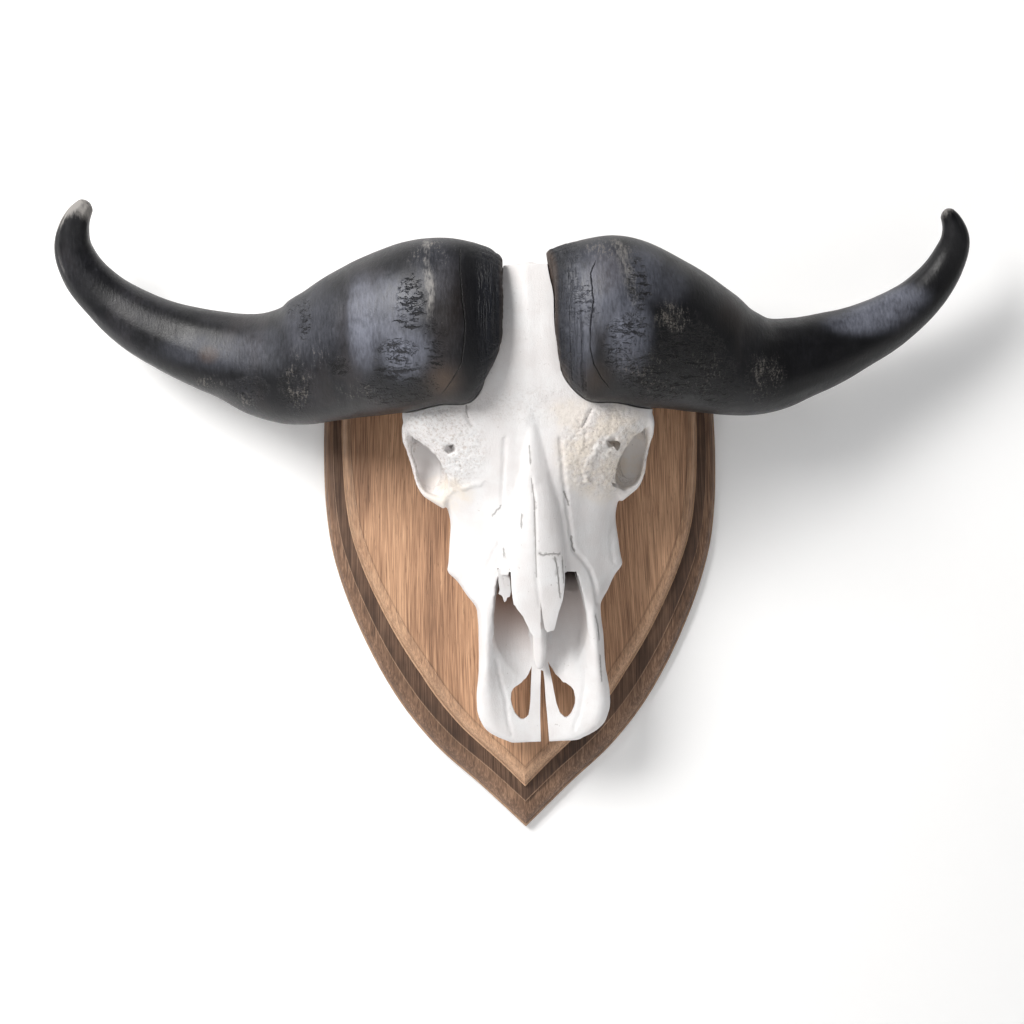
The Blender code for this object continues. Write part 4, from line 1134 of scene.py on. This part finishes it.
soften = skull.modifiers.new("soften", "SMOOTH")
soften.factor = 0.5
soften.iterations = 3
settle(skull)


# Carving of the bone's surface, before the faces are thinned out. Every line is given as
# (sideways, height) where it shows from the front.
def carve(line, width, lift, wander, nearest=0.10):
    """Raises or sinks the bone along a line, on what faces the viewer."""
    line = np.array(line, float)
    low, high = line.min(axis=0) - width * 1.5, line.max(axis=0) + width * 1.5
    some = ((points[:, 0] > low[0]) & (points[:, 0] < high[0]) & (points[:, 2] > low[1])
            & (points[:, 2] < high[1]) & (-points[:, 1] > nearest) & (normals[:, 1] < -0.1))
    spot = points[some]
    away = near_line(spot, line) + wavy(spot, 0.004, 31) * wander
    amount = fade(np.clip(away, 0, None), width) * within(-normals[some, 1] * 2)
    points[some] += normals[some] * (amount * lift)[:, None]


def region(spot, centre, radii):
    """Soft oval patch of the face, 1 in its middle."""
    away = ((spot[:, 0] - centre[0]) / radii[0]) ** 2 + ((spot[:, 2] - centre[1]) / radii[1]) ** 2
    return within(1.6 - away * 1.2)


def rough_patches(spot):
    """Where the bone is rough: round both eyes and over the brow beside the horns."""
    rough = np.maximum(region(spot, (-0.088, 0.125), (0.052, 0.046)),
                       region(spot, (0.090, 0.122), (0.050, 0.048)))
    rough = np.maximum(rough, region(spot, (0.010, 0.168), (0.075, 0.020)) * 0.35)
    return rough * (-spot[:, 1] > 0.118)


points, normals = surface(skull)
CARVING = mm([
    # midline ridge of the brow and the seam between the two nose bones
    ([(8.3, 155.7), (9.3, 126.5), (10.8, 92.1)], 13, 1.6, 0),
    ([(10.9, 92.2), (14.1, 67.1), (14.7, 7.4), (15.3, -14.6), (18.3, -42.9)], 3.5, -0.9, 0),
    # edges of the nose bones
    ([(42.2, 131.9), (44, 110.8), (45.7, 90.8), (48.5, 66.5), (52.2, 38), (55, 15.9)],
     4.2, -1.6, 1),
    ([(-15.7, 132.9), (-18.5, 90.9), (-21.9, 48.8), (-25.7, 6.7), (-26.6, -10.1)],
     4, -1.1, 1),
    # creases where the jaw bars lie on the cheek bone
    ([(57.4, 13.1), (65.9, 4.1), (74, -7.9), (78.3, -23), (81.2, -42.5)], 4.5, -2.2, 0),
    ([(-25.3, 21.8), (-35.3, 3.6), (-44.2, -17.7), (-48.4, -43.5)], 4.5, -1.1, 0),
    # curved ridges in front of the eyes and the little steps below them
    ([(62.4, 88.3), (68.7, 89.3), (69.9, 96.6), (71.1, 102.6), (73.3, 110.2), (76.5, 115.1),
      (81.9, 123.7), (92.5, 129.3)], 5.5, 1.3, 3),
    ([(68.8, 88.3), (78.2, 84.9), (87.7, 85.8), (96.1, 86.7)], 4.5, 1.4, 2),
    ([(-61.7, 83.1), (-53.3, 85.1), (-44.8, 87), (-38.4, 91.1)], 4, 1, 2),
    ([(-84.4, 84.8), (-78.1, 79.4), (-81.4, 71), (-72.8, 81.4)], 4.5, 1.5, 2),
    # seams of the brow beside the horns
    ([(-55.1, 168.9), (-55.7, 163), (-53.7, 156.3), (-50.7, 149.4)], 3, -1.5, 1.5),
    ([(74.8, 163.1), (70.2, 153.6), (67, 147.4), (64.6, 143.6)], 3, -1.5, 1.5),
    # hollow between the ledge and the cheek on the right
    ([(100, 50.7), (97.5, 35.6), (97, 14), (99, 3)], 5, -0.8, 1),
    # inner slopes of the jaw's front plate
    ([(-28.7, -104.2), (-24.8, -126.1), (-19.7, -148.1), (-17.9, -169.9), (-13.8, -186.4)],
     4, -1, 1, 60),
    ([(67.1, -114.6), (65.6, -138.6), (60.9, -162.5), (54, -182.1)], 4, -1, 1, 60),
])
for groove in CARVING:
    carve(*groove)
rough = rough_patches(points)
GRAIN_LIFT, KNOB_LIFT = 0.00085, 0.00055
SWELL_LIFT, STRIPE_LIFT = 0.00030, 0.00012
grains = wavy(points, 0.0040, 21) * 0.5 + wavy(points, 0.0024, 22) * 0.6
knobs = wavy(points, 0.0085, 23)
points += normals * ((grains * GRAIN_LIFT + knobs * KNOB_LIFT) * rough)[:, None]
points += normals * (wavy(points, (0.016, 0.016, 0.030), 24) * SWELL_LIFT)[:, None]
points += normals * (wavy(points, (0.0030, 0.0030, 0.0060), 25) * STRIPE_LIFT)[:, None]
skull.data.vertices.foreach_set("co", points.astype(np.float32).ravel())
skull.data.update()
thin = skull.modifiers.new("fewer faces", "DECIMATE")
thin.ratio = min(1.0, TRIANGLES / (2 * len(skull.data.polygons)))
thin.use_collapse_triangulate = True
settle(skull)


SLIT_REACH = 0.003


def slit(line, width, depth):
    """Thin cutter that follows a crack over the front of the bone."""
    line = np.array(line, float)
    line = np.array([line[0] + (line[1] - line[0]) * -0.02, *line[1:]])
    rings = []
    for number, (x, z) in enumerate(line):
        hit, spot, _, _ = skull.ray_cast((x, -0.5, z), (0, 1, 0))
        front = spot[1] if hit else -0.16
        way = line[min(number + 1, len(line) - 1)] - line[max(number - 1, 0)]
        way = way / np.linalg.norm(way)
        side = np.array([-way[1], way[0]]) * width / 2 * (0.35 if number in (0, len(line) - 1) else 1.0)
        rings.append([(x - side[0], front - SLIT_REACH, z - side[1]), (x, front + depth, z),
                      (x + side[0], front - SLIT_REACH, z + side[1])])
    return closed(rings)


CRACKS = mm([
    ([(10.9, 92.2), (12.7, 80), (14.1, 67.1), (14.4, 40), (14.7, 7.4), (15.2, -12)], 0.6, 1.2),
    ([(45.3, 77.8), (46.8, 74), (47.5, 71.8), (49.2, 68), (50.4, 63.1)], 1, 2.3),
    ([(52.9, 30.3), (52.4, 27), (53.8, 23.1), (53.6, 19), (56.3, 13.9)], 1.2, 2.6),
    ([(17.9, 12.9), (21, 11.4), (24.4, 11.1), (29.7, 12.5), (36, 12), (40.2, 11.7)], 0.7, 1.5),
    ([(34.3, 8.8), (36.2, 2), (37, -3), (38, -12), (38.8, -21), (39.9, -34.8)], 1, 2.3),
    ([(42.6, 8.4), (43.4, -5.4), (44.2, -19.2)], 0.7, 1.5),
    ([(-30.5, 54.5), (-27.5, 56), (-25.5, 59.4), (-23, 61), (-21.1, 64.6)], 0.6, 1),
    ([(0.4, 54.7), (0.1, 47.4), (0.2, 39)], 0.6, 0.8),
    ([(-19.2, 19.1), (-18.9, 10.6)], 0.7, 0.9),
    ([(9.3, 126.5), (10.1, 118), (10.6, 106)], 0.6, 0.9),
    ([(74.8, 163.1), (71.6, 156), (70.2, 153.6), (67, 147.4), (64.6, 143.6)], 0.6, 1),
    ([(-55.1, 168.9), (-55.7, 163), (-53.7, 156.3)], 0.6, 0.9),
    ([(78.1, -55.8), (80, -64), (80.6, -66.6), (81.6, -76), (82, -82.9)], 0.9, 1.2),
    ([(82.8, -99.1), (83.6, -113.1), (84.4, -128.3)], 0.7, 0.9),
])
LEFT_FORAMEN = mm([(-98.1, 323.9), (-91.9, 321.5), (-84.4, 324.9), (-87.2, 320.8), (-91.7, 314.2),
                   (-95.2, 318.5)])
LEFT_FORAMEN_DEEP = mm([(-89.7, 324), (-84, 325.2), (-86.6, 320.3)])
RIGHT_FORAMEN = mm([(83.5, 322.4), (86.5, 321.4), (89.5, 322.2), (95.1, 321.9), (98.4, 319.2),
                    (97.4, 314.5), (95.5, 313), (94.6, 311), (91.4, 314.2), (88.7, 317.7)])
RIGHT_SLOT = mm([(87.4, 278.5), (94.2, 277), (99, 273.3), (95.1, 272.2), (89, 274.5)])

# Back and front of the cutters, measured from the wall
TIP_CUT, PALATE_CUT, BROW_FRONT = (0.1345, 0.20), (0.060, 0.125), 0.23
helpers += [
    cut(skull, together("first chip and holes", [
        slab(NOSE_CHIPS[0], *TIP_CUT), *(slab(slot, *PALATE_CUT) for slot in PALATE_SLOTS),
        slab(LEFT_FORAMEN, 0.1855, BROW_FRONT), slab(RIGHT_FORAMEN, 0.168, BROW_FRONT),
        slab(RIGHT_SLOT, 0.140, BROW_FRONT)])),
    cut(skull, together("second chip and deep hole", [
        slab(NOSE_CHIPS[1], *TIP_CUT), slab(LEFT_FORAMEN_DEEP, 0.172, BROW_FRONT)])),
    cut(skull, together("third chip and broken corner", [
        slab(NOSE_CHIPS[2], *TIP_CUT), slab(BROKEN_CORNER, 0.122, 0.20)])),
    cut(skull, together("splinter", [slab(SPLINTER, 0.1275, 0.1320, 0.42)]), "UNION"),
    cut(skull, together("cracks", [slit(*crack) for crack in CRACKS])),
]

# The bone is hollowed where each horn sits on it, with a small gap left all round.
SEAT_RINGS = 90
SEAT_SIDES = 64
seats = []
for stations in (HORN_LEFT, HORN_RIGHT):
    hollow, _ = horn_rings(stations, SEAT_RINGS, SEAT_SIDES, SOCKET_GAP)
    near, far = (hollow[end] * 0.02 + hollow[end].mean(axis=0) * 0.98 for end in (0, -1))
    seats.append(closed([near, *hollow, far]))
helpers.append(cut(skull, together("seats of the horns", seats)))
settle(skull)
for helper in helpers:
    bpy.data.objects.remove(helper)
mellow(skull, BONE_CREASE)

# Marks on the finished surface: rough bone, painted brown shade deep in the nose and a painted
# near-black shade in the tunnel behind it, darker lines along the cracks, and the cream tint
# round the eyes and on the teeth.
spots, faces_out = surface(skull)
c, s = math.cos(SKULL_LEAN), math.sin(SKULL_LEAN)
own_x = (spots[:, 0] - SKULL_TIP[0]) * c + (spots[:, 2] - SKULL_TIP[1]) * s
own_z = -(spots[:, 0] - SKULL_TIP[0]) * s + (spots[:, 2] - SKULL_TIP[1]) * c
out = -spots[:, 1]
# Painted shade in the nose: the points hidden from the front, stronger on the left, browner deeper in, and
# near-black in the tunnel at the back.
in_nose = (np.abs(own_x) < 0.052) & (out > 0.070) & (own_z > 0.100) & (own_z < 0.30)
hidden = np.zeros(len(spots), bool)
for number in np.flatnonzero(in_nose):
    x, y, z = spots[number]
    hidden[number] = skull.ray_cast((x, y - 0.003, z), (0, -1, 0))[0]
inside = in_nose & (hidden | ((out < 0.122) & (own_z < 0.20)))
inside &= ~((np.abs(own_x) < 0.012) & (own_z < 0.125))
deep = within((own_z - 0.095) / 0.065) * inside * np.where(own_x < 0, 0.9, 0.35)
dark_tunnel = within((own_z - 0.163) / 0.020) * inside
# Darker lines along the cracks of the bone.
grime = np.zeros(len(spots))
for line, width, depth in CRACKS:
    near = near_line(spots, line)
    crack_band = fade(np.clip(near - width * 0.45, 0, None), width * 0.7)
    grime = np.maximum(grime, crack_band * (faces_out[:, 1] < 0.6))
grime *= (out > 0.088) * 0.7
cream = np.maximum(region(spots, (0.090, 0.118), (0.052, 0.052)),
                   region(spots, (0.060, 0.158), (0.040, 0.018)) * 0.6)
cream = np.maximum(cream, region(spots, (-0.080, 0.078), (0.030, 0.020)) * 0.9)
teeth = (out < 0.0785) & (own_z > 0.155) & (own_z < 0.312) & (np.abs(own_x) > 0.038)
cream = np.maximum(cream * (out > 0.11), teeth * 0.9)
for name, values in (("rough", rough_patches(spots)), ("deep", deep), ("tunnel", dark_tunnel),
                     ("grime", grime), ("cream", cream)):
    set_mark(skull, name, values)

bone, wire, shader = new_finish("bleached bone")
spot = wire.node("ShaderNodeTexCoord", output="Object")
rough, deep, tunnel, grime, cream = (wire.mark(key) for key in ("rough", "deep", "tunnel", "grime", "cream"))
grit = spot.cloud(900.0, 3.0, 0.6)
lumps = spot.cloud(330.0, 4.0, 0.65)
mottle = spot.cloud(26.0, 4.0, 0.6)
fibres = spot.stretched(1.0, 1.0, 0.10).cloud(520.0, 3.0, 0.6)
specks = spot.cloud(240.0, 2.0, 0.5).rise(0.70, 0.76) * spot.cloud(30.0, 2.0).rise(0.45, 0.60)
pink = spot.cloud(13.0, 2.0).rise(0.56, 0.74) * 0.35
patchy = spot.cloud(46.0, 3.0, 0.6).rise(0.36, 0.62)
# Painted shade in the low spots between the lumps of the rough bone and in its pits, where the bumps alone
# give too little shade.
hollows = rough * (0.50 - lumps).held() * 3.6
pitted = rough * 0.8 + spot.cloud(24.0, 3.0).rise(0.50, 0.70) * 0.35
pits = spot.cloud(620.0, 2.0, 0.5).rise(0.66, 0.72) * pitted
# Layers below: painted shade in the hollows and pits, painted brown shade deep in the nose, a painted
# near-black tunnel and darker lines along the cracks.
colour = coats(mottle.rise(0.34, 0.70).tint((0.755, 0.728, 0.722, 1), (0.810, 0.804, 0.806, 1)),
               (pink, (0.780, 0.700, 0.680)),
               ((cream * (patchy * 0.7 + lumps * 0.5)).held(), (0.800, 0.725, 0.640)),
               (hollows.held(), (0.470, 0.395, 0.350)),
               ((pits * 0.75).held(), (0.300, 0.250, 0.225)),
               (specks * 0.5, (0.360, 0.310, 0.290)),
               ((deep * (mottle * 0.5 + 0.80)).held(), (0.330, 0.185, 0.125)),
               (tunnel, (0.035, 0.022, 0.018)),
               ((grime * (grit * 0.8 + 0.45)).held(), (0.090, 0.070, 0.062)))
relief = grit * (rough * 0.7 + 0.35) + fibres * 0.25 + lumps * (rough * 1.5 + 0.15) - pits * 0.5
bump = wire.node("ShaderNodeBump", {}, {"Strength": 0.65, "Distance": 0.0012, "Height": relief})
lay(shader, Base_Color=colour, Roughness=(0.58 + (mottle - 0.5) * 0.2 + rough * 0.1).held(), Normal=bump)
skull.data.materials.clear()
skull.data.materials.append(bone)
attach(skull, "root")
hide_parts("skull")

# The size of the dressed model
low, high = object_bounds()
